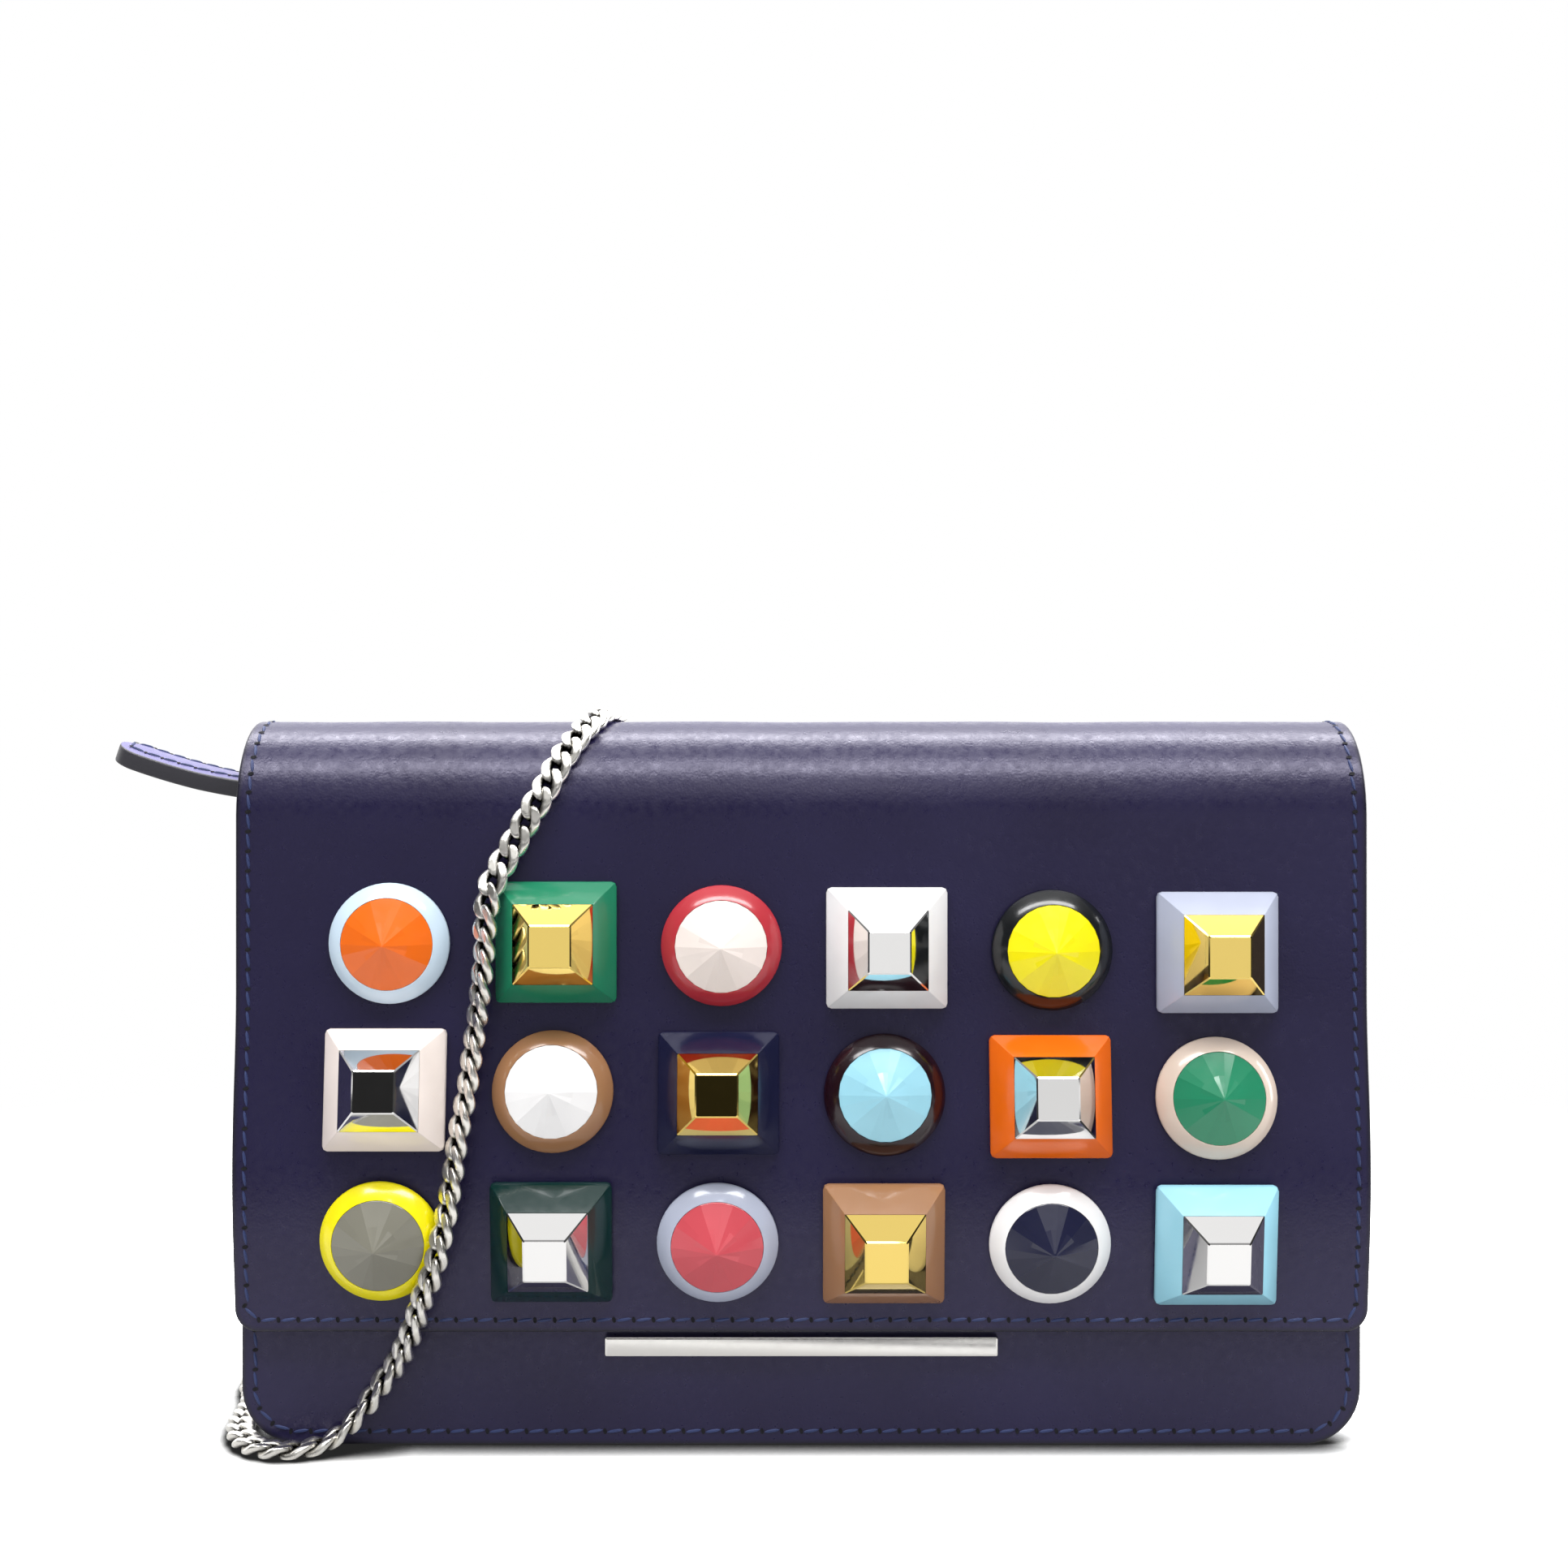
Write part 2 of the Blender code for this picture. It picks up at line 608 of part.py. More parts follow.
# ---- zip slider and pull ------------------------------------------------------------------------
def build_slider(slide):
    """A channel over the teeth, with two ears that carry the pull's pin."""
    low = TAPE_Z + TAPE + SEAM
    top = PLATE_Z + SLIDER_PLATE
    flank = TEETH_HALF + SEAM
    section = [
        (MID_Y - SLIDER_HALF, low),
        (MID_Y - SLIDER_HALF, top),
        (MID_Y + SLIDER_HALF, top),
        (MID_Y + SLIDER_HALF, low),
        (MID_Y + flank, low),
        (MID_Y + flank, PLATE_Z),
        (MID_Y - flank, PLATE_Z),
        (MID_Y - flank, low),
    ]
    waist = [(-0.5, 0.72), (-0.2, 1.0), (0.25, 1.0), (0.5, 0.72)]
    rings = []
    for share, width in waist:
        x = SLIDER_X + share * SLIDER_LENGTH
        ring = []
        for y, z in section:
            off = y - MID_Y
            narrow = off if abs(off) < SLIDER_HALF else math.copysign(flank + (SLIDER_HALF - flank) * width, off)
            ring.append((x, MID_Y + narrow, z))
        rings.append(ring)
    body = loft("zip_slider", rings, SILVER)
    inner = EYE_HALF + SEAM
    for side in (-1, 1):
        ear = bmesh.new()
        bmesh.ops.create_cube(ear, size=1.0)
        low_z, high_z = PLATE_Z + SLIDER_PLATE / 2, PIN_Z + PIN_RADIUS * 1.5
        size = (EAR_LENGTH, EAR_HALF - inner, high_z - low_z)
        middle = (PIN_X, MID_Y + side * (EAR_HALF + inner) / 2, (low_z + high_z) / 2)
        bmesh.ops.scale(ear, vec=size, verts=ear.verts)
        bmesh.ops.translate(ear, vec=middle, verts=ear.verts)
        piece = finish(f"ear_{side}", ear, SILVER)
        add(body, piece)
    pin = disc("pull_pin", PIN_RADIUS, 2 * inner + (EAR_HALF - inner), SILVER, 16)
    start = MID_Y + inner + (EAR_HALF - inner) / 2
    place(pin, (PIN_X, start, PIN_Z), Matrix.Rotation(math.radians(90), 4, "X"))
    add(body, pin)
    return place(body, parent=slide)


def add(obj, other):
    """Joins another solid to the object; the other stays as a hidden guide."""
    step = obj.modifiers.new("add", "BOOLEAN")
    step.operation = "UNION"
    step.object = other
    other.hide_render = True
    other.display_type = "WIRE"


def build_pull(swing):
    """The leather pull: an eye on the pin, a narrow neck, and a strap that curls up and rolls."""
    stations = []
    steps = 16
    tip = PULL_WIDTH / 2
    start = EYE_BORE + EYE_WALL / 2
    for i in range(steps + 1):
        along = start + (PULL_LENGTH - start) * (1 - (1 - i / steps) ** 1.25)
        share = along / PULL_LENGTH
        half = PULL_WIDTH / 2
        if along < 2 * PULL_NECK:
            grown = min(max(along / PULL_NECK - 1, 0.0), 1.0)
            half = EYE_HALF + (half - EYE_HALF) * grown * grown * (3 - 2 * grown)
        left = PULL_LENGTH - along
        if left < tip:
            half = math.sqrt(max(tip**2 - (tip - left) ** 2, (0.12 * tip) ** 2))
        rise = PULL_RISE * share**2
        slope = math.atan2(2 * PULL_RISE * share, PULL_LENGTH)
        stations.append((along, rise, slope, half, PULL_ROLL * min(share * 1.6, 1.0)))
    rings = []
    for along, rise, slope, half, roll in stations:
        ring = []
        for y, up in ((-half, -PULL / 2), (-half, PULL / 2), (half, PULL / 2), (half, -PULL / 2)):
            across = y * math.cos(roll) - up * math.sin(roll)
            lift = up * math.cos(roll) + y * math.sin(roll)
            x = PIN_X - along - lift * math.sin(slope)
            ring.append((x, MID_Y + across, PIN_Z + rise + lift * math.cos(slope)))
        rings.append(ring)
    strap = loft("zip_pull", rings, LEATHER_BLUE)
    eye = disc("pull_eye", EYE_RADIUS, 2 * EYE_HALF, LEATHER_BLUE, 20)
    bore = disc("pull_bore", EYE_BORE, 4 * EYE_HALF, LEATHER_BLUE, 20)
    lying = Matrix.Rotation(math.radians(90), 4, "X")
    place(eye, (PIN_X, MID_Y + EYE_HALF, PIN_Z), lying)
    place(bore, (PIN_X, MID_Y + 2 * EYE_HALF, PIN_Z), lying)
    add(strap, eye)
    cut(strap, bore)
    return place(strap, parent=swing)


# ---- hardware -----------------------------------------------------------------------------------
def build_front_bar():
    """The metal bar under the flap's edge, with a fine bevel all round."""
    top = FLAP_EDGE_Z - BAR_BELOW_FLAP
    outline = [
        (-BAR_LENGTH / 2, top - BAR_HEIGHT),
        (BAR_LENGTH / 2, top - BAR_HEIGHT),
        (BAR_LENGTH / 2, top),
        (-BAR_LENGTH / 2, top),
    ]
    obj = plate("front_bar", outline, FRONT_Y - SEAM - BAR_THICKNESS, FRONT_Y - SEAM, SILVER)
    edge = obj.modifiers.new("bevel", "BEVEL")
    edge.width = BAR_BEVEL
    edge.segments = 2
    return obj


def build_magnets(hinge):
    """The two halves of the snap: one sunk in the front panel, one on the flap's back."""
    outward = Matrix.Rotation(math.radians(90), 4, "X")
    socket = disc("magnet_socket", MAGNET_RADIUS, MAGNET, SILVER)
    place(socket, (0.0, FRONT_Y + MAGNET, MAGNET_Z), outward)
    tilt = Matrix.Rotation(math.radians(90) - flap_tilt(MAGNET_Z), 4, "X")
    y, z = flap_point(MAGNET_Z, LEATHER + SEAM + MAGNET)
    stud = disc("magnet_stud", MAGNET_RADIUS, MAGNET, SILVER)
    place(stud, (0.0, y, z), tilt, hinge)


def build_ring_set(name, side):
    """A folded tab on the gusset's fold and the D-ring that swings in it."""
    x = side * RING_X
    plate_near = side * (RIDGE_X + SEAM)
    plate_far = side * (RIDGE_X + SEAM + TAB)
    outline = [(plate_near, RING_Z), (plate_near, TAB_TOP_Z), (plate_far, TAB_TOP_Z), (plate_far, RING_Z)]
    tab = plate(f"ring_tab_{name}", outline, MID_Y - TAB_WIDTH / 2, MID_Y + TAB_WIDTH / 2, LEATHER_BLUE)
    lying = Matrix.Rotation(math.radians(90), 4, "X")
    eye = disc(f"tab_eye_{name}", TAB_EYE, TAB_WIDTH, LEATHER_BLUE, 20)
    bore = disc(f"tab_bore_{name}", TAB_EYE_BORE, 2 * TAB_WIDTH, LEATHER_BLUE, 20)
    place(eye, (x, MID_Y + TAB_WIDTH / 2, RING_Z), lying)
    place(bore, (x, MID_Y + TAB_WIDTH, RING_Z), lying)
    add(tab, eye)
    cut(tab, bore)
    swing = empty(f"ring_swing_{name}", (x, MID_Y, RING_Z))
    straight = RING_REACH - RING_HALF
    path = [(0.0, -RING_HALF, 0.0), (0.0, RING_HALF, 0.0)]
    path += [(0.0, y, z - straight) for y, z in arc((0, 0), RING_HALF, 0, -180, 12)]
    place(tube(f"ring_{name}", path, RING_WIRE, SILVER, cyclic=True), (x, MID_Y, RING_Z), parent=swing)


def tube(name, points, diameter, look, cyclic=False):
    """A round bar or cord through the points."""
    curve = bpy.data.curves.new(name, "CURVE")
    curve.dimensions = "3D"
    curve.bevel_depth = diameter / 2
    curve.bevel_resolution = 2
    curve.use_fill_caps = not cyclic
    spline = curve.splines.new("POLY")
    spline.points.add(len(points) - 1)
    for point, place_at in zip(spline.points, points):
        point.co = (*place_at, 1.0)
    spline.use_cyclic_u = cyclic
    spline.use_smooth = True
    curve.materials.append(material(look))
    obj = bpy.data.objects.new(name, curve)
    bpy.context.scene.collection.objects.link(obj)
    return obj


# ---- studs --------------------------------------------------------------------------------------
def square_loop(half, corner, z):
    """A square with its corners cut off by a hair."""
    near = half - corner
    pairs = [(half, -near), (half, near), (near, half), (-near, half)]
    pairs += [(-half, near), (-half, -near), (-near, -half), (near, -half)]
    return [(x, y, z) for x, y in pairs]


def square_rim(name, look):
    """A square frame that slopes up to the seat of its pyramid."""
    outer, inner = STUD_SIZE / 2, SQUARE_SEAT / 2
    top = SQUARE_SIDE + (outer - inner) * math.tan(SQUARE_SLOPE)
    small = STUD_CORNER / 2
    rings = [
        square_loop(outer, STUD_CORNER, 0.0),
        square_loop(outer, STUD_CORNER, SQUARE_SIDE),
        square_loop(inner, small, top),
        square_loop(inner, small, 0.0),
    ]
    return loft(name, rings, look, closed=True)


def pyramid(name, look):
    """The pyramid: a block in the frame's seat, then the frame's slope again up to a flat top."""
    half, flat = SQUARE_SEAT / 2 - SEAM, PYRAMID_TOP / 2
    slope = math.tan(SQUARE_SLOPE)
    shoulder = SQUARE_SIDE + (STUD_SIZE / 2 - half) * slope
    top = shoulder + (half - flat) * slope
    rings = [[(sx * w, sy * w, z) for sx, sy in ((-1, -1), (1, -1), (1, 1), (-1, 1))]
             for w, z in ((half, SEAM), (half, shoulder), (flat, top))]
    return loft(name, rings, look)


def turned(name, profile, look, closed):
    """A profile of (radius, z) turned about Z."""
    rings = []
    for radius, z in profile:
        rings.append([(x, y, z) for x, y in arc((0, 0), radius, 0, 360, STUD_SEGMENTS)[:-1]])
    return loft(name, rings, look, closed=closed, smooth=math.radians(30))


def round_rim(name, look):
    """A ring that slopes up to the seat of its cone over a rounded shoulder."""
    outer, inner = STUD_SIZE / 2, ROUND_SEAT / 2
    dome = ROUND_HEIGHT - ROUND_SIDE
    profile = [(outer, 0.0), (outer, ROUND_SIDE)]
    profile += [(outer - 0.0004, ROUND_SIDE + 0.27 * dome), (outer - 0.0013, ROUND_SIDE + 0.67 * dome)]
    profile += [(inner, ROUND_HEIGHT), (inner, 0.0)]
    return turned(name, profile, look, closed=True)


def cone(name, look):
    """A cone on a round block that fills the ring's seat."""
    radius = ROUND_SEAT / 2 - SEAM
    profile = [(radius, SEAM), (radius, ROUND_HEIGHT), (CONE_TIP, CONE_HEIGHT)]
    return turned(name, profile, look, closed=False)


def build_studs(hinge):
    """Six columns and three rows, each stud square to the leather under it."""
    metals = {"gold": GOLD, "silver": SILVER}
    for row, kinds in enumerate(STUDS, start=1):
        for column, (shape, rim, centre) in enumerate(kinds, start=1):
            x = (column - (STUD_COLUMNS + 1) / 2) * STUD_PITCH_X + STUD_ROW_SHIFTS[row - 1]
            z = ROLL_Z - STUD_ROW_DROPS[row - 1] - STUD_ROW_SLOPES[row - 1] * x
            y, z_seat = flap_point(z, -SEAM)
            turn = Matrix.Rotation(math.radians(90) - flap_tilt(z), 4, "X")
            label = f"r{row}c{column}"
            if shape == "square":
                outer = square_rim(f"square_rim_{label}", enamel(rim))
                inner = pyramid(f"pyramid_{label}", metals[centre])
            else:
                outer = round_rim(f"round_rim_{label}", enamel(rim))
                inner = cone(f"cone_{label}", enamel(centre))
            for piece in (outer, inner):
                place(piece, (x, y, z_seat), turn, hinge)


# ---- strap --------------------------------------------------------------------------------------
def smooth_path(route, step):
    """Points a step apart on a smooth curve through the route's points."""
    points = [Vector(p) for p in route]
    ends = [2 * points[0] - points[1], *points, 2 * points[-1] - points[-2]]
    fine = []
    for before, start, end, after in zip(ends, ends[1:], ends[2:], ends[3:]):
        for i in range(12):
            t = i / 12
            bend = 2 * start + (end - before) * t
            bend += (2 * before - 5 * start + 4 * end - after) * t**2
            bend += (3 * start - before - 3 * end + after) * t**3
            fine.append(bend / 2)
    fine.append(points[-1])
    lengths = [(b - a).length for a, b in zip(fine, fine[1:])]
    total = sum(lengths)
    count = max(2, round(total / step))
    marks, travelled, seen = [fine[0]], 0.0, 0
    for k in range(1, count):
        target = total * k / count
        while travelled + lengths[seen] < target:
            travelled += lengths[seen]
            seen += 1
        share = (target - travelled) / lengths[seen]
        marks.append(fine[seen].lerp(fine[seen + 1], share))
    return [tuple(p) for p in [*marks, fine[-1]]]


def build_strap():
    """The strap as it lies: four runs of cord and the hank that holds the rest of its length."""
    tube("chain_left", smooth_path(LEFT_ROUTE, CHAIN_STEP), CHAIN, SILVER)
    tube("chain_front", smooth_path(FRONT_ROUTE, CHAIN_STEP * 0.6), CHAIN, SILVER)
    tube("chain_back", smooth_path(BACK_ROUTE, CHAIN_STEP), CHAIN, SILVER)
    tube("chain_right", smooth_path(RIGHT_ROUTE, CHAIN_STEP), CHAIN, SILVER)
    build_hank()


def hank_side(x):
    """Half the hank's width at x from its middle: its sides draw in under the tie."""
    return HANK_TURN - HANK_PINCH * (1 + math.cos(math.pi * x / HANK_HALF)) / 2


def hank_middle():
    """The closed middle line of the hank: a side, an end, the other side and the other end."""
    shares = [i / 14 * 2 - 1 for i in range(15)]
    front = [(share * HANK_HALF, -hank_side(share * HANK_HALF)) for share in shares]
    right = arc((HANK_HALF, 0), HANK_TURN, -90, 90, 8)[1:-1]
    back = [(x, -y) for x, y in front[::-1]]
    left = arc((-HANK_HALF, 0), HANK_TURN, 90, 270, 8)[1:-1]
    return front + right + back + left


def build_hank():
    """The hank as one solid ring with an eight-sided section, and the band that ties it."""
    line = hank_middle()
    section = arc((0, 0), 1.0, 22.5, 337.5, 7)
    rings = []
    for i, (x, y) in enumerate(line):
        (x0, y0), (x1, y1) = line[i - 1], line[(i + 1) % len(line)]
        run = math.hypot(x1 - x0, y1 - y0)
        out_x, out_y = (y1 - y0) / run, (x0 - x1) / run
        lift = TIE_LIFT * (1 + math.cos(math.pi * min(abs(x) / TIE_REACH, 1.0))) / 2
        ring = []
        for out, up in section:
            side = out * HANK_WIDE / 2
            ring.append((x + out_x * side, y + out_y * side, SEAM + lift + (1 + up) * HANK_HIGH / 2))
        rings.append(ring)
    place(loft("chain_hank", rings, SILVER, closed=True, smooth=math.radians(60)), (*HANK_CENTRE, 0.0))
    half = hank_side(TIE_WIDTH / 2) + HANK_WIDE / 2 + SEAM
    top = SEAM + TIE_LIFT + HANK_HIGH + SEAM
    corner = 0.0016
    inner = [(-half, TIE + corner), (-half + corner, TIE), (half - corner, TIE), (half, TIE + corner)]
    inner += [(half, top - corner), (half - corner, top), (-half + corner, top), (-half, top - corner)]
    small = corner + TIE * 0.6
    outer = [(-half - TIE, small), (-half - TIE + small, 0.0), (half + TIE - small, 0.0), (half + TIE, small)]
    outer += [(half + TIE, top + TIE - small), (half + TIE - small, top + TIE)]
    outer += [(-half - TIE + small, top + TIE), (-half - TIE, top + TIE - small)]
    rings = []
    for (y_in, z_in), (y_out, z_out) in zip(inner, outer):
        x = TIE_WIDTH / 2
        rings.append([(-x, y_in, z_in), (x, y_in, z_in), (x, y_out, z_out), (-x, y_out, z_out)])
    place(loft("chain_tie", rings, LEATHER_BLUE, closed=True), (*HANK_CENTRE, 0.0))


def empty(name, at):
    """A joint's parent, on its axis."""
    obj = bpy.data.objects.new(name, None)
    obj.empty_display_size = 0.01
    bpy.context.scene.collection.objects.link(obj)
    obj.matrix_world = Matrix.Translation(at)
    return obj


def main():
    for obj in list(bpy.data.objects):
        bpy.data.objects.remove(obj)
    hinge = empty("flap_hinge", HINGE)
    slide = empty("zip_slide", (SLIDER_X, MID_Y, PLATE_Z))
    swing = empty("pull_swing", (PIN_X, MID_Y, PIN_Z))
    place(swing, (PIN_X, MID_Y, PIN_Z), parent=slide)
    build_back_panel()
    build_front_panel()
    build_gusset()
    build_zip_pocket()
    build_card_pocket()
    build_slider(slide)
    build_pull(swing)
    build_front_bar()
    build_flap(hinge)
    build_magnets(hinge)
    build_studs(hinge)
    for name, side in (("left", -1), ("right", 1)):
        build_ring_set(name, side)
    build_strap()


main()
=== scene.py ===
# %% [markdown]
# # A studded chain wallet
# This file dresses a finished set of solids: a small leather wallet with a roll-over flap, 18 studs
# and a curb chain. The solids give every size and place. Each new surface is worked out with numpy
# as a whole array and then handed to Blender as a mesh.

# %% Load the frame
import json
import math
from functools import partial

import bmesh
import bpy
import numpy as np
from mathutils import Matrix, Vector


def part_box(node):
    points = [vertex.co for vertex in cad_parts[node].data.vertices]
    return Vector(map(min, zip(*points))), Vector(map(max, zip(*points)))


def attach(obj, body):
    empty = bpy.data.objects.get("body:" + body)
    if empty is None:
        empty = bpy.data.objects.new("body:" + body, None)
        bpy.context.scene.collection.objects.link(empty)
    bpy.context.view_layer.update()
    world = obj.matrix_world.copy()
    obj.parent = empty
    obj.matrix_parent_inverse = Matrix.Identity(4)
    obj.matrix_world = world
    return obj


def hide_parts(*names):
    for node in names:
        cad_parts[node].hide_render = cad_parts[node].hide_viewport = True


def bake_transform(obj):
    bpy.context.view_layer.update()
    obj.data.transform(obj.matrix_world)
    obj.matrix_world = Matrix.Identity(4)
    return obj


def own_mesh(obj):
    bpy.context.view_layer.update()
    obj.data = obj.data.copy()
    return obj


MM = 0.001
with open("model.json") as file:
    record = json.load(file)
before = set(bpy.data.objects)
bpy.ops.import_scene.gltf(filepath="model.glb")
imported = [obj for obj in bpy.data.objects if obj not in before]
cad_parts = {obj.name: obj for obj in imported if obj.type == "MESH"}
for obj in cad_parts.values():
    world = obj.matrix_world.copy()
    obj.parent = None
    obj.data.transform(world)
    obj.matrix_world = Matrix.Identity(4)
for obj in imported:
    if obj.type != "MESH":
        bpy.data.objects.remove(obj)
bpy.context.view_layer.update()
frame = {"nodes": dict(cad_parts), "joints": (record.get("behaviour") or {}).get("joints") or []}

# %% [markdown]
# ## Working tools
# A finish in Blender is a tree of shader nodes, and most of the work of writing one out is
# bookkeeping. Two helpers take that over: one turns an sRGB hex colour into the linear numbers that
# shaders want, and one adds a node with its settings and inputs.


# %% Colour and node helpers
def linear(code):
    """sRGB hex to linear RGBA: c / 12.92 near black, ((c + 0.055) / 1.055) ** 2.4 above it."""
    c = np.array([int(code[i : i + 2], 16) / 255 for i in (1, 3, 5)])
    return (*np.where(c <= 0.04045, c / 12.92, ((c + 0.055) / 1.055) ** 2.4).tolist(), 1.0)


def node(tree, kind, settings=None, stops=(), **inputs):
    """One shader node. Stops are a ramp's (place, grey or hex). An input is given by its name or
    number, as a value, a hex colour, a socket, or a node, which means its first live output."""
    made = tree.nodes.new("ShaderNode" + kind)
    for name, value in (settings or {}).items():
        setattr(made, name, value)
    for k, (place, colour) in enumerate(stops):
        band = made.color_ramp.elements
        element = band[k] if k < 2 else band.new(1.0)
        element.position = place
        element.color = linear(colour) if isinstance(colour, str) else (colour, colour, colour, 1.0)
    for name, value in inputs.items():
        socket = made.inputs[int(name[1:]) if name[1:].isdigit() else name.replace("_", " ")]
        if isinstance(value, bpy.types.Node):
            value = next(output for output in value.outputs if output.enabled)
        if isinstance(value, bpy.types.NodeSocket):
            tree.links.new(value, socket)
        else:
            socket.default_value = linear(value) if isinstance(value, str) else value
    return made


def new_material(name):
    """An empty material, node() for its own tree, and the piece's own coordinates in metres."""
    made = bpy.data.materials.new(name)
    made.use_nodes = True
    made.node_tree.nodes.clear()
    add = partial(node, made.node_tree)
    print("finish:", name)
    return made, add, add("TexCoord").outputs["Object"]


# noise seldom leaves the middle of its range, so it is read from 0.3 to 0.7
MIDDLE = {"From_Min": 0.3, "From_Max": 0.7}
RGBA = {"data_type": "RGBA"}
print("mid grey is", round(linear("#808080")[0], 3), "in linear light")

# %% [markdown]
# ## Points into meshes
# Every surface here is a grid: rows of points that are joined by quads, and wrapped round where the
# shape closes. Working on the grid as one array is much faster than moving single vertices, and
# the same few steps serve a link, a stitch, a stud and a whole leather panel.


# %% Mesh helpers
def unit(v):
    """Each vector at length 1."""
    return v / np.linalg.norm(v, axis=-1, keepdims=True)


def square_to(tangent, facing):
    """The facing made square to the tangent: f - (f . t) t, at length 1."""
    return unit(facing - (facing * tangent).sum(1, keepdims=True) * tangent)


def vectors(*parts):
    """Points whose x, y and z are the parts, a single number standing for all of them."""
    return np.stack(np.broadcast_arrays(*parts), -1)


def circle(count):
    """Cosines and sines at so many equal steps."""
    turn = np.linspace(0, 2 * np.pi, count, endpoint=False)
    return np.cos(turn), np.sin(turn)


def arc(radius, start, stop, count, centre=(0, 0)):
    """Points c + r (cos t, sin t) from one angle to another, in degrees."""
    turn = np.radians(np.linspace(start, stop, count))
    return radius * vectors(np.cos(turn), np.sin(turn)) + centre


def travelled(points):
    """Distance along a line at each of its points."""
    return np.concatenate([[0], np.cumsum(np.linalg.norm(np.diff(points, axis=0), axis=1))])


def sample(marks, run, *tables):
    """Each table of vectors, given at the distances run, read at the marks."""
    return [np.stack([np.interp(marks, run, column) for column in t.T], -1) for t in tables]


def even(points, step):
    """The same line with its points a step apart."""
    run = travelled(points)
    return sample(np.linspace(0, run[-1], max(2, round(run[-1] / step) + 1)), run, points)[0]


def beside(line):
    """Unit vectors to the right of a flat line: its direction (a, b) turned to (b, -a)."""
    a, b = unit(np.gradient(line, axis=0)).T
    return vectors(b, -a)


def ease(value, low, high):
    """0 below low, 1 above high, and 3 u^2 - 2 u^3 between."""
    u = np.clip((np.asarray(value, float) - low) / (high - low), 0, 1)
    return u * u * (3 - 2 * u)


def grid_faces(rows, columns, wrap_rows=False, wrap_columns=False):
    """Quads of a grid of points counted row by row, wrapped round where asked."""
    last = (rows if wrap_rows else rows - 1, columns if wrap_columns else columns - 1)
    r, c = np.meshgrid(*map(np.arange, last), indexing="ij")
    r2, c2 = (r + 1) % rows * columns, (c + 1) % columns
    r = r * columns
    return np.stack([r + c, r + c2, r2 + c2, r2 + c], -1).reshape(-1, 4)


def capped(rings):
    """Points and faces of a skin over rings (n, m, 3), with a flat face on each end."""
    n, m = rings.shape[:2]
    ends = [list(range(m))[::-1], list(range((n - 1) * m, n * m))]
    return rings.reshape(-1, 3), grid_faces(n, m, wrap_columns=True).tolist() + ends


def closed(rings):
    """Points and faces of rings (n, m, 3) whose last ring joins the first."""
    return rings.reshape(-1, 3), grid_faces(*rings.shape[:2], True, True).tolist()


def revolved(profile, segments):
    """A (radius, height) profile turned about Z: x = r cos t, y = r sin t, z = h."""
    r, h = np.asarray(profile, float).T[..., None]
    c, s = circle(segments)
    return vectors(r * c, r * s, h)


def rounded_loop(half_x, half_y, corner, z, steps=3, centre=(0, 0)):
    """A rectangle with corners rounded to a radius, counted anticlockwise."""
    loop = []
    for start, sx, sy in ((0, 1, 1), (90, -1, 1), (180, -1, -1), (270, 1, -1)):
        at = (centre[0] + sx * (half_x - corner), centre[1] + sy * (half_y - corner))
        loop.append(arc(corner, start, start + 90, steps, at))
    return vectors(*np.vstack(loop).T, z)


def copies(shape, spots, axes):
    """One shape (n, m, 3) at each spot, turned so that its x, y and z run along three axes."""
    return spots[:, None, None] + sum(
        shape[None, ..., k : k + 1] * axis[:, None, None] for k, axis in enumerate(axes))


def copied_faces(faces, count, points):
    """The faces of every copy, when one copy has so many points."""
    faces = np.asarray(faces) + np.arange(count)[:, None, None] * points
    return faces.reshape(-1, faces.shape[-1]).tolist()


print("quads in a 3 by 4 grid:", len(grid_faces(3, 4)), "open,", len(grid_faces(3, 4, True, True)),
      "closed")

# %% [markdown]
# ## Pieces of the model
# A mesh becomes a piece once it says what it moves with and which solids it stands for, whose
# own shapes are then hidden.


# %% Piece helpers
def build(name, points, faces, materials, indices=None, smooth=40.0, flip_check=True):
    """A mesh object at the origin. Edges sharper than smooth degrees stay sharp."""
    mesh = bpy.data.meshes.new(name)
    mesh.from_pydata(np.asarray(points, float).reshape(-1, 3).tolist(), [], list(faces))
    if flip_check:
        shape = bmesh.new()
        shape.from_mesh(mesh)
        bmesh.ops.recalc_face_normals(shape, faces=shape.faces)
        shape.to_mesh(mesh)
        shape.free()
    for material in materials:
        mesh.materials.append(material)
    if indices is not None:
        mesh.polygons.foreach_set("material_index", np.asarray(indices, np.int32))
    mesh.shade_smooth()
    mesh.set_sharp_from_angle(angle=math.radians(smooth))
    made = bpy.data.objects.new(name, mesh)
    bpy.context.scene.collection.objects.link(made)
    print(f"{name}: {len(mesh.polygons)} faces")
    return made


def store(made, name, values):
    """One number for each point of a piece, for its finish to read."""
    table = made.data.attributes.new(name, "FLOAT", "POINT")
    table.data.foreach_set("value", values.astype(np.float32))


def assign(made, body=None, slot=None, *nodes):
    """What the piece rides on and the solids that it stands for; the finish slot is not used."""
    if body:
        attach(made, body)
    if nodes:
        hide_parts(*nodes)


# %% [markdown]
# ## Sizes
# Nothing here is measured twice. The boxes of the solids give the panels, the roll and the hinge,
# and the joints in the frame give the axes.

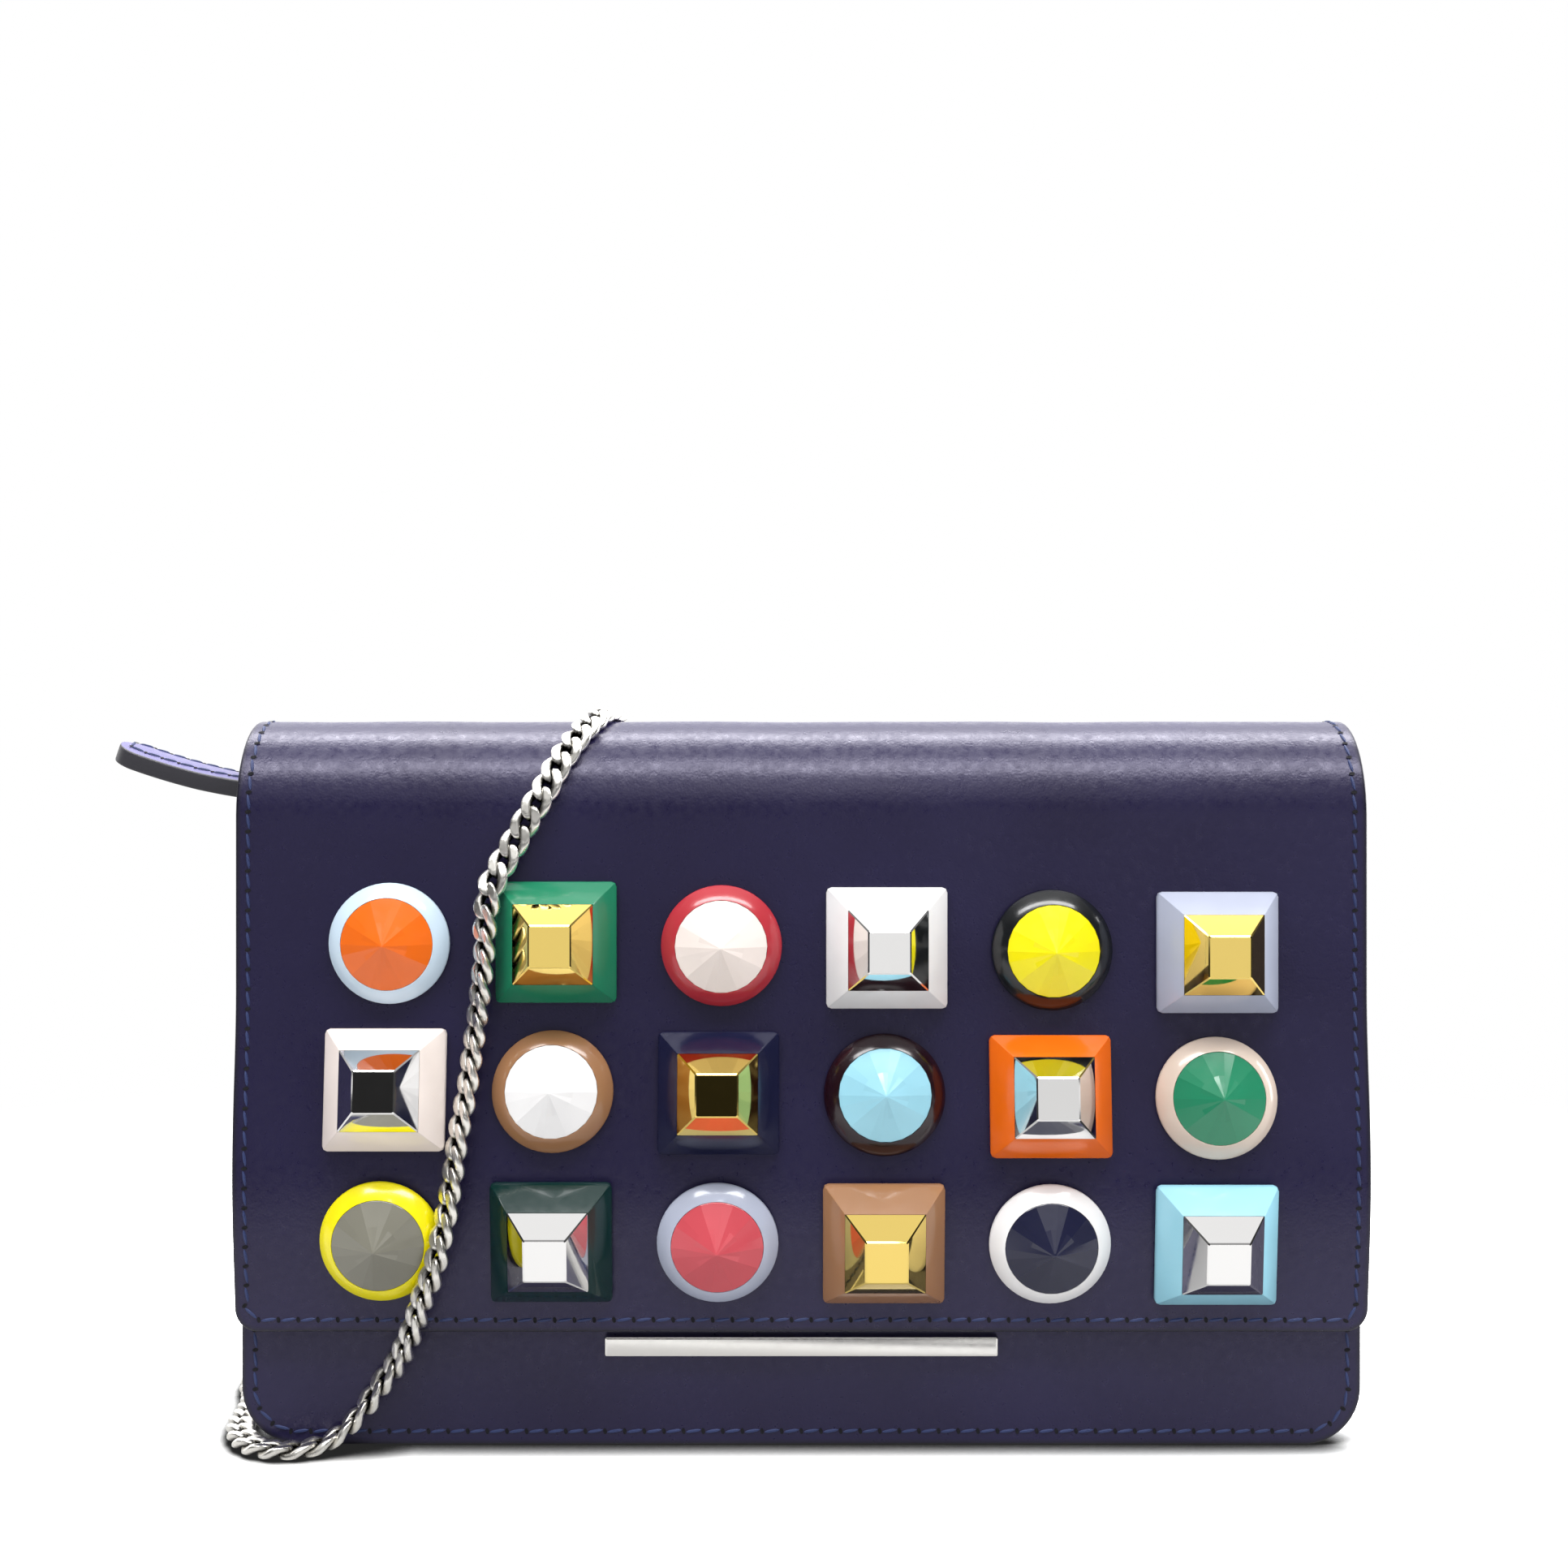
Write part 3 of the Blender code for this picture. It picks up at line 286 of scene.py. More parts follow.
# %% Sizes from the frame
joints = {joint["name"]: joint for joint in frame["joints"]}
_, (_, BACK_Y, _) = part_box("back_panel")
(_, FRONT_Y, _), (HALF_FRONT, front_inside, MOUTH_Z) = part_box("front_panel")
(_, _, FLAP_FOOT), (HALF_WRAP, _, _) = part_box("flap_panel")
_, ROLL_Y, CREST_Z = joints["flap_hinge"]["pos_m"]
LEATHER = front_inside - FRONT_Y
ROLL_R = BACK_Y - ROLL_Y
ROLL_Z, FLAP_Y = CREST_Z - ROLL_R, ROLL_Y - ROLL_R
FLAP_CORNER, BASE_CORNER, GUSSET_CORNER = 4.0 * MM, 10.0 * MM, 14.0 * MM
BULGE, BULGE_Z, BULGE_REACH = 2.4 * MM, 47.0 * MM, 33.0 * MM
print("roll radius, crest and flap plane in mm:",
      [round(v / MM, 2) for v in (ROLL_R, CREST_Z, FLAP_Y)])

# %% [markdown]
# ## Camera
# The wallet stands level in front of the lens. A 44 mm lens from 330 mm away takes in 270 mm.
# Colours go through the plain Standard view, so a colour renders about as it is written.

# %% Camera
CAMERA_GAP = 330.0 * MM
camera_data = bpy.data.cameras.new("camera")
camera_data.sensor_width, camera_data.lens = 36.0, 44.0
camera_data.clip_start, camera_data.clip_end = 0.02, 50.0
camera = bpy.data.objects.new("camera", camera_data)
bpy.context.scene.collection.objects.link(camera)
camera.location = (-3.0 * MM, FLAP_Y - CAMERA_GAP, 114.75 * MM)
camera.rotation_euler = (math.pi / 2, 0.0, 0.0)
bpy.context.scene.camera = camera
bpy.context.scene.view_settings.view_transform = "Standard"
print("the view is", round(CAMERA_GAP * 36.0 / 44.0 / MM), "mm wide at the flap")

# %% [markdown]
# ## The room
# Polished metal shows the room around it, so a plain white world would make it look like plaster.
# The room is painted into the world by direction: pale behind and below, a grey studio in front
# with a lit strip under its ceiling, dark sides, and a dark patch where a person stands. A camera
# ray sees plain white, and matt surfaces get an even level.

# %% World
CEILING = [(0.70, 1.3), (0.75, 1.3), (0.76, 0.12), (0.83, 0.45), (0.90, 0.9), (1.0, 1.0)]
AHEAD = [(0.0, 0.80), (0.49, 0.85), (0.56, 0.80), (0.60, 0.06), (0.69, 0.05)] + CEILING
ASIDE = [(0.0, 0.80), (0.44, 0.60), (0.50, 0.06), (0.72, 0.04), (0.86, 0.30), (1.0, 0.80)]
PERSON = [(0.0, 0.80), (0.485, 0.80), (0.505, 0.02), (0.68, 0.03)] + CEILING
BEHIND = [(0.0, 1.3), (1.0, 1.95)]
PERSON_FROM, PERSON_TO = -0.30, 0.06
EVEN_LIGHT = 0.88


def build_world():
    """Each ramp gives the room's brightness from floor (0) to ceiling (1) in one direction."""
    world = bpy.data.worlds.new("studio")
    world.use_nodes = True
    bpy.context.scene.world = world
    world.node_tree.nodes.clear()
    add = partial(node, world.node_tree)
    x, y, z = add("SeparateXYZ", Vector=add("TexCoord").outputs["Generated"]).outputs
    height = add("MapRange", Value=z, From_Min=-1.0, From_Max=1.0)
    room, side, person, behind = (
        add("ValToRGB", stops=stops, Fac=height) for stops in (AHEAD, ASIDE, PERSON, BEHIND))
    across = add("Math", {"operation": "ABSOLUTE"}, i0=x)
    to_side = add("MapRange", Value=across, From_Min=0.34, From_Max=0.62)
    from_left = add("MapRange", Value=x, From_Min=PERSON_FROM - 0.04,
                    From_Max=PERSON_FROM + 0.04)
    to_right = add("MapRange", Value=x, From_Min=PERSON_TO + 0.02, From_Max=PERSON_TO - 0.02)
    stands = add("Math", {"operation": "MULTIPLY"}, i0=from_left, i1=to_right)
    turn = add("MapRange", Value=y, From_Min=0.05, From_Max=0.30)
    for share, other in ((to_side, side), (stands, person), (turn, behind)):
        room = add("Mix", RGBA, i0=share, i6=room, i7=other)
    ray = add("LightPath").outputs
    mirror = add("Math", {"operation": "ADD", "use_clamp": True},
                 i0=ray["Is Glossy Ray"], i1=ray["Is Transmission Ray"])
    matt = add("Background", Color="#ffffff", Strength=EVEN_LIGHT)
    picture = add("Background", Color=room, Strength=1.0)
    white = add("Background", Color="#ffffff", Strength=1.0)
    lit = add("MixShader", Fac=mirror, i1=matt, i2=picture)
    seen = add("MixShader", Fac=ray["Is Camera Ray"], i1=lit, i2=white)
    add("OutputWorld", Surface=seen)


build_world()
print("room painted in", len(AHEAD + ASIDE + PERSON + BEHIND), "steps")

# %% [markdown]
# ## Lamps
# A softbox is a lamp behind a white cloth, so its light comes from a rectangle and its highlight
# has soft ends. The one overhead draws the highlight on the roll, the strip in front of it the
# second band, and the other two fill the right side and the studs.

# %% Lamps
LAMPS = (
    ("overhead_softbox", (0.0, 0.24, 0.80), (0.0, ROLL_Y, 0.1), (0.9, 0.15), 6.5),
    ("front_strip", (0.0, -0.315, 0.67), (0.0, ROLL_Y, 0.1), (0.9, 0.12), 4.8),
    ("right_softbox", (0.80, 0.12, 0.25), (0.0, ROLL_Y, 0.08), (0.3, 0.5), 4.0),
    ("small_lamp", (0.03, -0.90, 0.75), (0.0, FLAP_Y, 0.06), (0.10, 0.10), 0.35),
)
for name, spot, aim, size, power in LAMPS:
    light = bpy.data.lights.new(name, "AREA")
    light.shape = "RECTANGLE"
    light.size, light.size_y = size
    light.energy = power
    lamp = bpy.data.objects.new(name, light)
    bpy.context.scene.collection.objects.link(lamp)
    lamp.location = spot
    lamp.rotation_euler = (Vector(aim) - Vector(spot)).to_track_quat("-Z", "Y").to_euler()
    print(name, power, "W")

# %% [markdown]
# ## Table
# The table is a sheet of white paper that runs into the backdrop without an edge. Paper that is
# only lit never comes out as even as the backdrop, so it is lit near the wallet, where its shadow
# lies and a painted contact shadow darkens its colour, and plain white further off.

# %% Table
CONTACT, SHEET_END, DESK_END, TABLE_HALF = 10.0 * MM, 0.14, 0.80, 6.0


def build_table():
    """The paper's colour is darkened, a painted contact shadow, in the last CONTACT before whatever
    stands on it, where it sees a share a of the room: ((a - 0.5) / 0.5)^2.2. What the wallet
    reflects is a sheet that ends SHEET_END in front of it, then a dark desk, and a pale floor from
    DESK_END on."""
    material, add, place = new_material("white studio paper")
    y = add("SeparateXYZ", Vector=place).outputs["Y"]
    ray = add("LightPath").outputs
    # painted contact shadow: the paper's own colour darkens where little of the room reaches it,
    # next to the wallet
    room = add("AmbientOcclusion", {"samples": 12}, Distance=CONTACT).outputs["AO"]
    share = add("MapRange", Value=room, From_Min=0.5, From_Max=1.0)
    painted_contact_shadow = add("Math", {"operation": "POWER"}, i0=share, i1=2.2)
    lit = add("BsdfDiffuse", Color=painted_contact_shadow)
    twice_lit = add("AddShader", i0=lit, i1=lit)
    glow = add("Emission", Color="#ffffff", Strength=0.02)
    near = add("AddShader", i0=twice_lit, i1=glow)
    white = add("Emission", Color="#ffffff", Strength=1.0)
    away = add("VectorMath", {"operation": "LENGTH"}, i0=place)
    far = add("MapRange", {"interpolation_type": "SMOOTHSTEP"}, Value=away,
              From_Min=0.16, From_Max=0.42)
    seen = add("MixShader", Fac=far, i1=near, i2=white)
    past_sheet = add("MapRange", Value=y, From_Min=-SHEET_END, From_Max=-SHEET_END - 0.06)
    before_floor = add("MapRange", Value=y, From_Min=-DESK_END, From_Max=-DESK_END + 0.15)
    on_desk = add("Math", {"operation": "MULTIPLY"}, i0=past_sheet, i1=before_floor)
    paper = add("BsdfDiffuse", Color="#b8b8b8")
    desk = add("BsdfDiffuse", Color="#3a3a3e")
    pale = add("Emission", Color="#ffffff", Strength=0.95)
    distant = add("MixShader", Fac=before_floor, i1=pale, i2=paper)
    bounced = add("MixShader", Fac=on_desk, i1=distant, i2=desk)
    both = add("MixShader", Fac=ray["Is Camera Ray"], i1=bounced, i2=seen)
    add("OutputMaterial", Surface=both)
    corners = TABLE_HALF * np.array([(-1, -1, 0), (1, -1, 0), (1, 1, 0), (-1, 1, 0)])
    build("table", corners, [(0, 1, 2, 3)], [material], flip_check=False)


build_table()

# %% [markdown]
# ## The strap's route
# The strap is 1.2 m of chain. It leaves the left ring, lies in a loop at the left foot, climbs over
# the flap and goes down behind the wallet, where the spare length lies. The points repeat the
# solids' own route, and a Catmull-Rom curve through them has no corners.

# %% Route of the strap
LEFT_ROUTE = (
    (-0.0902, -0.0145, 0.0800), (-0.0912, -0.0145, 0.0600), (-0.0928, -0.0140, 0.0300),
    (-0.0940, -0.0120, 0.0120), (-0.0956, -0.0070, 0.0046), (-0.0977, -0.0015, 0.0028),
    (-0.0989, 0.0042, 0.0026),
)
FRONT_ROUTE = (
    (-0.0991, 0.0050, 0.0026), (-0.1008, 0.0082, 0.0026), (-0.1036, 0.0062, 0.0026),
    (-0.1032, -0.0010, 0.0026), (-0.1008, -0.0085, 0.0026), (-0.0996, -0.0160, 0.0026),
    (-0.0992, -0.0225, 0.0026), (-0.0975, -0.0290, 0.0026), (-0.0938, -0.0343, 0.0025),
    (-0.0885, -0.0366, 0.0025), (-0.0838, -0.0355, 0.0027), (-0.0805, -0.0339, 0.0036),
    (-0.0777, -0.0330, 0.0055), (-0.0750, -0.0327, 0.0082), (-0.0723, -0.0328, 0.0116),
    (-0.0697, -0.0335, 0.0152), (-0.0676, -0.0354, 0.0190), (-0.0659, -0.0367, 0.0230),
    (-0.0643, -0.0383, 0.0275), (-0.0622, -0.0396, 0.0325), (-0.0610, -0.0396, 0.0375),
    (-0.0601, -0.0389, 0.0420), (-0.0593, -0.0380, 0.0475), (-0.0582, -0.0376, 0.0555),
    (-0.0570, -0.0368, 0.0625), (-0.0561, -0.0361, 0.0695), (-0.0553, -0.0358, 0.0755),
    (-0.0545, -0.0370, 0.0810), (-0.0539, -0.0375, 0.0865), (-0.0536, -0.0377, 0.0925),
    (-0.0527, -0.0374, 0.0975), (-0.0509, -0.0357, 0.1015), (-0.0484, -0.0349, 0.1059),
    (-0.0464, -0.0349, 0.1096), (-0.0443, -0.0344, 0.1134), (-0.0423, -0.0326, 0.1179),
    (-0.0401, -0.0298, 0.1219), (-0.0379, -0.0257, 0.1253), (-0.0356, -0.0187, 0.1279),
    (-0.0343, -0.0115, 0.1275), (-0.0336, -0.0041, 0.1239), (-0.0332, 0.0015, 0.1174),
    (-0.0329, 0.0031, 0.1100),
)
BACK_ROUTE = (
    (-0.0328, 0.0031, 0.1090), (-0.0325, 0.0031, 0.0900), (-0.0318, 0.0031, 0.0600),
    (-0.0302, 0.0032, 0.0300), (-0.0282, 0.0040, 0.0120), (-0.0270, 0.0075, 0.0044),
    (-0.0264, 0.0120, 0.0026), (-0.0262, 0.0175, 0.0026),
)
RIGHT_ROUTE = (
    (0.0776, 0.0175, 0.0026), (0.0782, 0.0128, 0.0026), (0.0810, 0.0092, 0.0026),
    (0.0860, 0.0076, 0.0026), (0.0922, 0.0070, 0.0026), (0.0968, 0.0044, 0.0026),
    (0.0981, -0.0008, 0.0028), (0.0966, -0.0062, 0.0044), (0.0944, -0.0115, 0.0110),
    (0.0930, -0.0138, 0.0200), (0.0924, -0.0143, 0.0350), (0.0912, -0.0145, 0.0600),
    (0.0902, -0.0145, 0.0800),
)
STRAP_LENGTH, CHAIN_WIDTH = 1.2, 5.0 * MM
FLOOR_LIFT, ROLL_LIFT = 1.15 * MM, 0.8 * MM


def smooth_line(route, step=0.4 * MM):
    """Catmull-Rom curve through the points, read at equal steps of its own length."""
    p = np.asarray(route, float)
    p = np.vstack([2 * p[0] - p[1], p, 2 * p[-1] - p[-2]])
    t = np.linspace(0, 1, 24, endpoint=False)[None, :, None]
    a, b, c, d = (p[i : len(p) - 3 + i, None] for i in range(4))
    fine = b + 0.5 * t * (c - a) + t**2 * (a - 2.5 * b + 2 * c - 0.5 * d)
    fine = fine + t**3 * 0.5 * (3 * b - a - 3 * c + d)
    return even(np.vstack([fine.reshape(-1, 3), p[-2]]), step)


def settle(line):
    """The links lie flatter than a round cord: points near the table come down by a lift, and
    points on the roll come towards its axis by another."""
    down = np.array(line, float)
    z = down[:, 2].copy()
    down[:, 2] -= FLOOR_LIFT * (1 - ease(z, 3.0 * MM, 12.0 * MM))
    inward = unit(np.array([ROLL_Y, ROLL_Z]) - down[:, 1:])
    down[:, 1:] += inward * (ROLL_LIFT * ease(z, ROLL_Z, ROLL_Z + 9 * MM))[:, None]
    return down


left_line, front_line = (settle(smooth_line(route)) for route in (LEFT_ROUTE, FRONT_ROUTE))
print("left and front runs, mm:", [round(travelled(v)[-1] / MM) for v in (left_line, front_line)])

# %% [markdown]
# ## The spare length
# The rest of the strap is put away behind the wallet as a tied hank: flat turns a chain's width
# apart, drawn in at the waist by a leather band. The mean line has two sides and two round ends.
# The half width of a side at x is R - p (1 + cos(pi x / a)) / 2. The half length a is whatever
# brings the whole strap to its real length, so it is solved for and not guessed.

# %% Hank
HANK_CENTRE = np.mean(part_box("chain_hank"), 0)[:2]
HANK_HALF, HANK_TURN, HANK_PINCH = 35.3 * MM, 14.0 * MM, 8.0 * MM
OUTER_TURN, INNER_TURN, MIDDLE_TURN, LAYER = 2.6 * MM, -2.6 * MM, 1.3 * MM, 2.7 * MM


def hank_loop(half):
    """One clockwise turn of the mean line from its left end, with the outward direction."""
    x = np.linspace(-half, half, 80)
    side = HANK_TURN - HANK_PINCH * (1 + np.cos(np.pi * x / half)) / 2
    left = arc(HANK_TURN, 180, 90, 30, (-half, 0))
    right = arc(HANK_TURN, 90, 0, 30, (half, 0))
    rear = np.vstack([left[:-1], vectors(x, side), right[1:-1]])
    loop = np.vstack([rear, -rear, rear[:1]])
    out = -beside(loop)
    out[0] = out[-1] = (-1, 0)
    return loop, out


def hank_line(half):
    """Two and a half turns, t counted in turns. The strand moves in near t = 0.9 and rises one
    layer near 1.6, so it lies beside and then on the turns before it. The waist lifts over the
    tie."""
    loop, out = hank_loop(half)
    run = travelled(loop)
    t = np.linspace(0, 2.5, 900)
    middle, away = sample((t % 1.0) * run[-1], run, loop, out)
    offset = OUTER_TURN + (INNER_TURN - OUTER_TURN) * ease(t, 0.76, 0.96)
    offset += (MIDDLE_TURN - INNER_TURN) * ease(t, 1.86, 2.10) + MIDDLE_TURN * ease(t, 2.3, 2.5)
    waist = (1 - ease(np.abs(middle[:, 0]), 0, 12 * MM)) * 0.8 * MM
    z = 1.4 * MM + LAYER * ease(t, 1.50, 1.72) + waist
    return np.column_stack([middle + away * offset[:, None] + HANK_CENTRE, z])


def strap_lines(half):
    """The back run with the whole hank on its end, and the right run that leaves the hank. The
    hank's own points stand for the route's point where each run meets it."""
    hank = hank_line(half)
    hank[:, 0] += HANK_HALF - half
    out = hank[-1]
    exit_turn = out + np.array([0.1, -6.0, -0.3]) * MM
    back = np.vstack([settle(BACK_ROUTE[:-1]), hank[4::9]])
    return smooth_line(back), smooth_line(np.vstack([out, exit_turn, settle(RIGHT_ROUTE[1:])]))


def spare(half):
    """How much longer than the real strap the four runs are."""
    runs = (left_line, front_line, *strap_lines(half))
    return sum(travelled(line)[-1] for line in runs) - STRAP_LENGTH


step = 2 * MM
hank_half = HANK_HALF - spare(HANK_HALF) * step / (spare(HANK_HALF + step) - spare(HANK_HALF))
back_line, right_line = strap_lines(hank_half)
print("hank half length", round(hank_half / MM, 2), "mm; off the strap's length by",
      round(spare(hank_half) / MM, 3), "mm")

# %% [markdown]
# ## The curb chain
# A curb chain is made of oval wire links, each twisted so that it lies flat in the next, and then
# ground and tumbled. One link is a tube round a closed line: x = a cos t, y = b sin t, turned about
# x by an angle that falls from one end to the other. A copy of that one link is set every 3.75 mm.

# %% One link
LINK_PITCH, GROUND, WIRE, WIRE_SWELL = 3.75 * MM, 1.02 * MM, 0.72 * MM, 0.22 * MM
LINK_HALF, LINK_HALF_WIDTH, LINK_TWIST = 2.66 * MM, 1.60 * MM, math.radians(50)


def one_link(around, across):
    """A twisted oval link: the centre line (a cos t, b sin t) is turned about x by -50 deg * x / a.
    The wire is 0.72 mm thick either way from it and 0.72 + 0.22 sin^2 t mm wide, ground flat above
    and below."""
    c, s = circle(around)
    x = LINK_HALF * np.sign(c) * np.abs(c) ** 0.85
    y = LINK_HALF_WIDTH * np.sign(s) * np.abs(s) ** 0.9
    wide = (WIRE + WIRE_SWELL * s**2)[:, None, None]
    twist = -LINK_TWIST * x / LINK_HALF
    line = vectors(x, y * np.cos(twist), y * np.sin(twist))
    tangent = unit(np.roll(line, -1, 0) - np.roll(line, 1, 0))
    flat = square_to(tangent, vectors(0, -np.sin(twist), np.cos(twist)))
    side = np.cross(tangent, flat)
    c, s = (v[None, :, None] for v in circle(across))
    points = line[:, None] + WIRE * c * flat[:, None] + wide * s * side[:, None]
    points[..., 2] = np.clip(points[..., 2], -GROUND, GROUND)
    return points


def hollow_shade_mask(link):
    """1 deep inside a link, where its colour is darkened as painted shade, and 0 on its ground
    faces.
    """
    off, height = np.abs(link[..., 1]), np.abs(link[..., 2])
    return (1 - ease(height, 0.55 * MM, 0.98 * MM)) * (1 - ease(off, 0.9 * MM, 1.9 * MM))


print("a link is", round(np.ptp(one_link(32, 16)[..., 1]) / MM, 2), "mm wide")

# %% [markdown]
# ## Which way the links face
# A chain has a flat side, and the way it faces decides how it catches the light. On the table it
# faces up. Where it hangs it faces outward. On the flap the strap stands on its edge, because it
# comes up from the side, and it turns flat near the crest. The angles are given in a table.

# %% Facing
ROLL_HEIGHTS = np.array([0, 20, 40, 60, 88, 95, 101, 110, 130]) * MM
ROLL_ANGLES = np.radians([70, 42, 46, 52, 50, 30, 8, 0, 0])


def line_frames(points, facing):
    """Tangent, facing and side vectors along a line; facing is made square to the tangent."""
    tangent = unit(np.gradient(points, axis=0))
    facing = square_to(tangent, facing)
    return tangent, facing, np.cross(facing, tangent)


def upward_at_foot(line, facing, low, high):
    """The facing where the chain hangs, and up where it lies."""
    share = ease(line[:, 2], low, high)[:, None]
    return np.asarray(facing) * share + np.array([0, 0, 1.0]) * (1 - share)


def front_facing(line):
    """Outward from the roll's axis, turned about the line's own direction by the angle there."""
    x, y, z = line.T
    _, out, side = line_frames(line, unit(vectors(0, y - ROLL_Y, np.maximum(z - ROLL_Z, 0))))
    roll = np.interp(z, ROLL_HEIGHTS, ROLL_ANGLES)[:, None]
    return upward_at_foot(line, np.cos(roll) * out + np.sin(roll) * side, 3.0 * MM, 9.0 * MM)


print("chain turned by up to", round(math.degrees(ROLL_ANGLES.max())), "degrees")

# %% [markdown]
# ## Steel of the chain
# The chain is steel with a nickel plate, tumbled with small stones, which leaves a satin that is
# bright on the ground faces and dark in the hollows. That dark is painted shade: a number stored on
# the link's points darkens the colour inside each link, where the strands shade each other. A fine
# noise in the roughness breaks up the highlight.


# %% Polished steel
def polished_steel(name, colour="#e9e8e6", roughness=0.13):
    """Smooth metal whose fine wear blurs it unevenly, with painted shade where a stored hollow
    shade says so.
    """
    material, add, place = new_material(name)
    wear = add("TexNoise", Vector=place, Scale=900.0, Detail=3.0)
    rough = add("MapRange", Value=wear, To_Min=roughness * 0.85, To_Max=roughness * 1.2, **MIDDLE)
    hollow = add("Attribute", {"attribute_name": "hollow"}).outputs["Fac"]
    # painted shade: inside each link the steel's colour goes to near-black brown, where the strands
    # shade each other
    tone = add("Mix", RGBA, i0=hollow, i6=colour, i7="#1d1915")
    add("OutputMaterial", Surface=add(
        "BsdfPrincipled", Base_Color=tone, Metallic=1.0, Roughness=rough))
    return material


STEEL = polished_steel("nickel plated steel, tumbled satin", "#f6f3ec", roughness=0.30)

# %% [markdown]
# ## Runs of chain
# The strap is made in four runs: one hanging from each ring, one over the front, which has to be
# out of the way when the flap opens, and one behind with the hank. Links that show get a fine
# mesh, and the others a plain one.


# %% Chain along a line
def chain(name, line, facing, around, across, nodes):
    """Links a pitch apart along a line, each stiff and set square to the line at its middle."""
    run = np.linspace(0, travelled(line)[-1], len(line))
    count = round(run[-1] / LINK_PITCH)
    marks = (np.arange(count) + 0.5) * run[-1] / count
    tangent, face, side = line_frames(line, facing)
    spots, *axes = sample(marks, run, line, tangent, side, face)
    link = one_link(around, across)
    faces = copied_faces(grid_faces(around, across, True, True), count, around * across)
    made = build(name, copies(link, spots, axes), faces, [STEEL], smooth=60)
    # painted shade: the darkness for the inside of every link is stored on its points
    store(made, "hollow", np.tile(hollow_shade_mask(link).ravel(), count))
    assign(made, None, "silver_metal", *nodes)
    print(name, count, "links,", round(run[-1] / MM, 1), "mm")
    return made


def hanging(line, outward):
    """Outward where the chain hangs free, turning up over the last 10 mm."""
    return upward_at_foot(line, outward, 4.0 * MM, 10.0 * MM)


def ring_run(side, line, sign):
    """A run that hangs beside the wallet, its top end at the ring."""
    made = chain(f"strap_{side}", line, hanging(line, (sign, 0, 0)), 14, 6, [f"chain_{side}"])
    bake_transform(made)


ring_run("left", left_line, -1)
front_chain = chain("strap_front", front_line, front_facing(front_line), 32, 16, ["chain_front"])
back_chain = chain("strap_back", back_line, hanging(back_line, (0, 1, 0)), 12, 6,
                   ["chain_back", "chain_hank"])
ring_run("right", right_line, 1)
for made in (front_chain, back_chain):
    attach(made, "wallet_body")
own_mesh(front_chain)

# %% [markdown]
# ## Calfskin
# Smooth navy calfskin is chrome-tanned, dyed through and finished with a thin wax, so it has a
# satin gloss over a very fine pore grain of about 0.4 mm. The cut edges are sanded and painted
# nearly black. A stored edge distance lets the material darken the border where the panel was
# pressed and painted. Pores and folds are small next to the wallet, so they are bump and not mesh.


# %% Calfskin
def calfskin(name, base, light, roughness=0.34, grain=0.05, cut_edges=False):
    """Dyed leather: pores as a Voronoi bump, a slow drift of shade, gloss that varies with wear."""
    material, add, place = new_material(name)
    pores = add("TexVoronoi", {"feature": "SMOOTH_F1"}, Vector=place, Scale=1 / (0.46 * MM),
                Smoothness=0.5)
    folds = add("TexNoise", Vector=place, Scale=1 / (1.3 * MM), Detail=4.0)
    drift = add("TexNoise", Vector=place, Scale=1 / (28 * MM), Detail=2.0)
    height = add("Mix", {"data_type": "FLOAT"}, i0=0.75, i2=pores, i3=folds)
    bump = add("Bump", Height=height, Strength=min(grain * 8, 1.0), Distance=0.08 * MM)
    tone = add("ValToRGB", stops=[(0.3, base), (0.7, light)], Fac=drift)
    if cut_edges:
        edge = add("Attribute", {"attribute_name": "edge_distance"}).outputs["Fac"]
        border = add("MapRange", Value=edge, From_Min=0.25, From_Max=1.1, To_Min=1.0, To_Max=0.0)
        tone = add("Mix", RGBA, i0=border, i6=tone, i7="#15141d")
    rough = add("MapRange", Value=folds, To_Min=roughness - 0.07, To_Max=roughness + 0.08, **MIDDLE)
    add("OutputMaterial", Surface=add(
        "BsdfPrincipled", Base_Color=tone, Roughness=rough, Normal=bump, IOR=1.55,
        Specular_Tint="#ebe7fc", Sheen_Weight=0.12, Sheen_Roughness=0.4, Sheen_Tint="#9d95ff"))
    return material


NAVY = ("#151031", "#1b173a")
CALF = calfskin("navy calfskin, waxed", *NAVY, roughness=0.33, grain=0.11, cut_edges=True)
SOFT_CALF = calfskin("navy calfskin, bellows and tabs", *NAVY, grain=0.11)
LINING = calfskin("navy lining goatskin, matte", "#1f2037", "#25263f", roughness=0.7, grain=0.08)

# %% [markdown]
# ## Paint, thread and plate
# Edge paint, thread and plated metal are each one plain colour, but none is even: paint dries with
# a slight skin, thread has its twist, and polish leaves hairlines. One noise drives both the bump
# and the gloss, so a glossier spot is also a smoother one.


# %% Plain finishes
def plain(name, colour, roughness, grain=0.5 * MM, bump=0.1, depth=0.05 * MM, detail=3.0,
          spread=(0.85, 1.2), metallic=0.0):
    """A finish of one colour; grain and depth are the bump's size and height in metres, and spread
    is how far its roughness strays."""
    material, add, place = new_material(name)
    noise = add("TexNoise", Vector=place, Scale=1 / grain, Detail=detail)
    low, high = (min(1.0, roughness * share) for share in spread)
    rough = add("MapRange", Value=noise, To_Min=low, To_Max=high, **MIDDLE)
    relief = add("Bump", Height=noise, Strength=bump, Distance=depth)
    add("OutputMaterial", Surface=add(
        "BsdfPrincipled", Base_Color=colour, Metallic=metallic, Roughness=rough, Normal=relief))
    return material


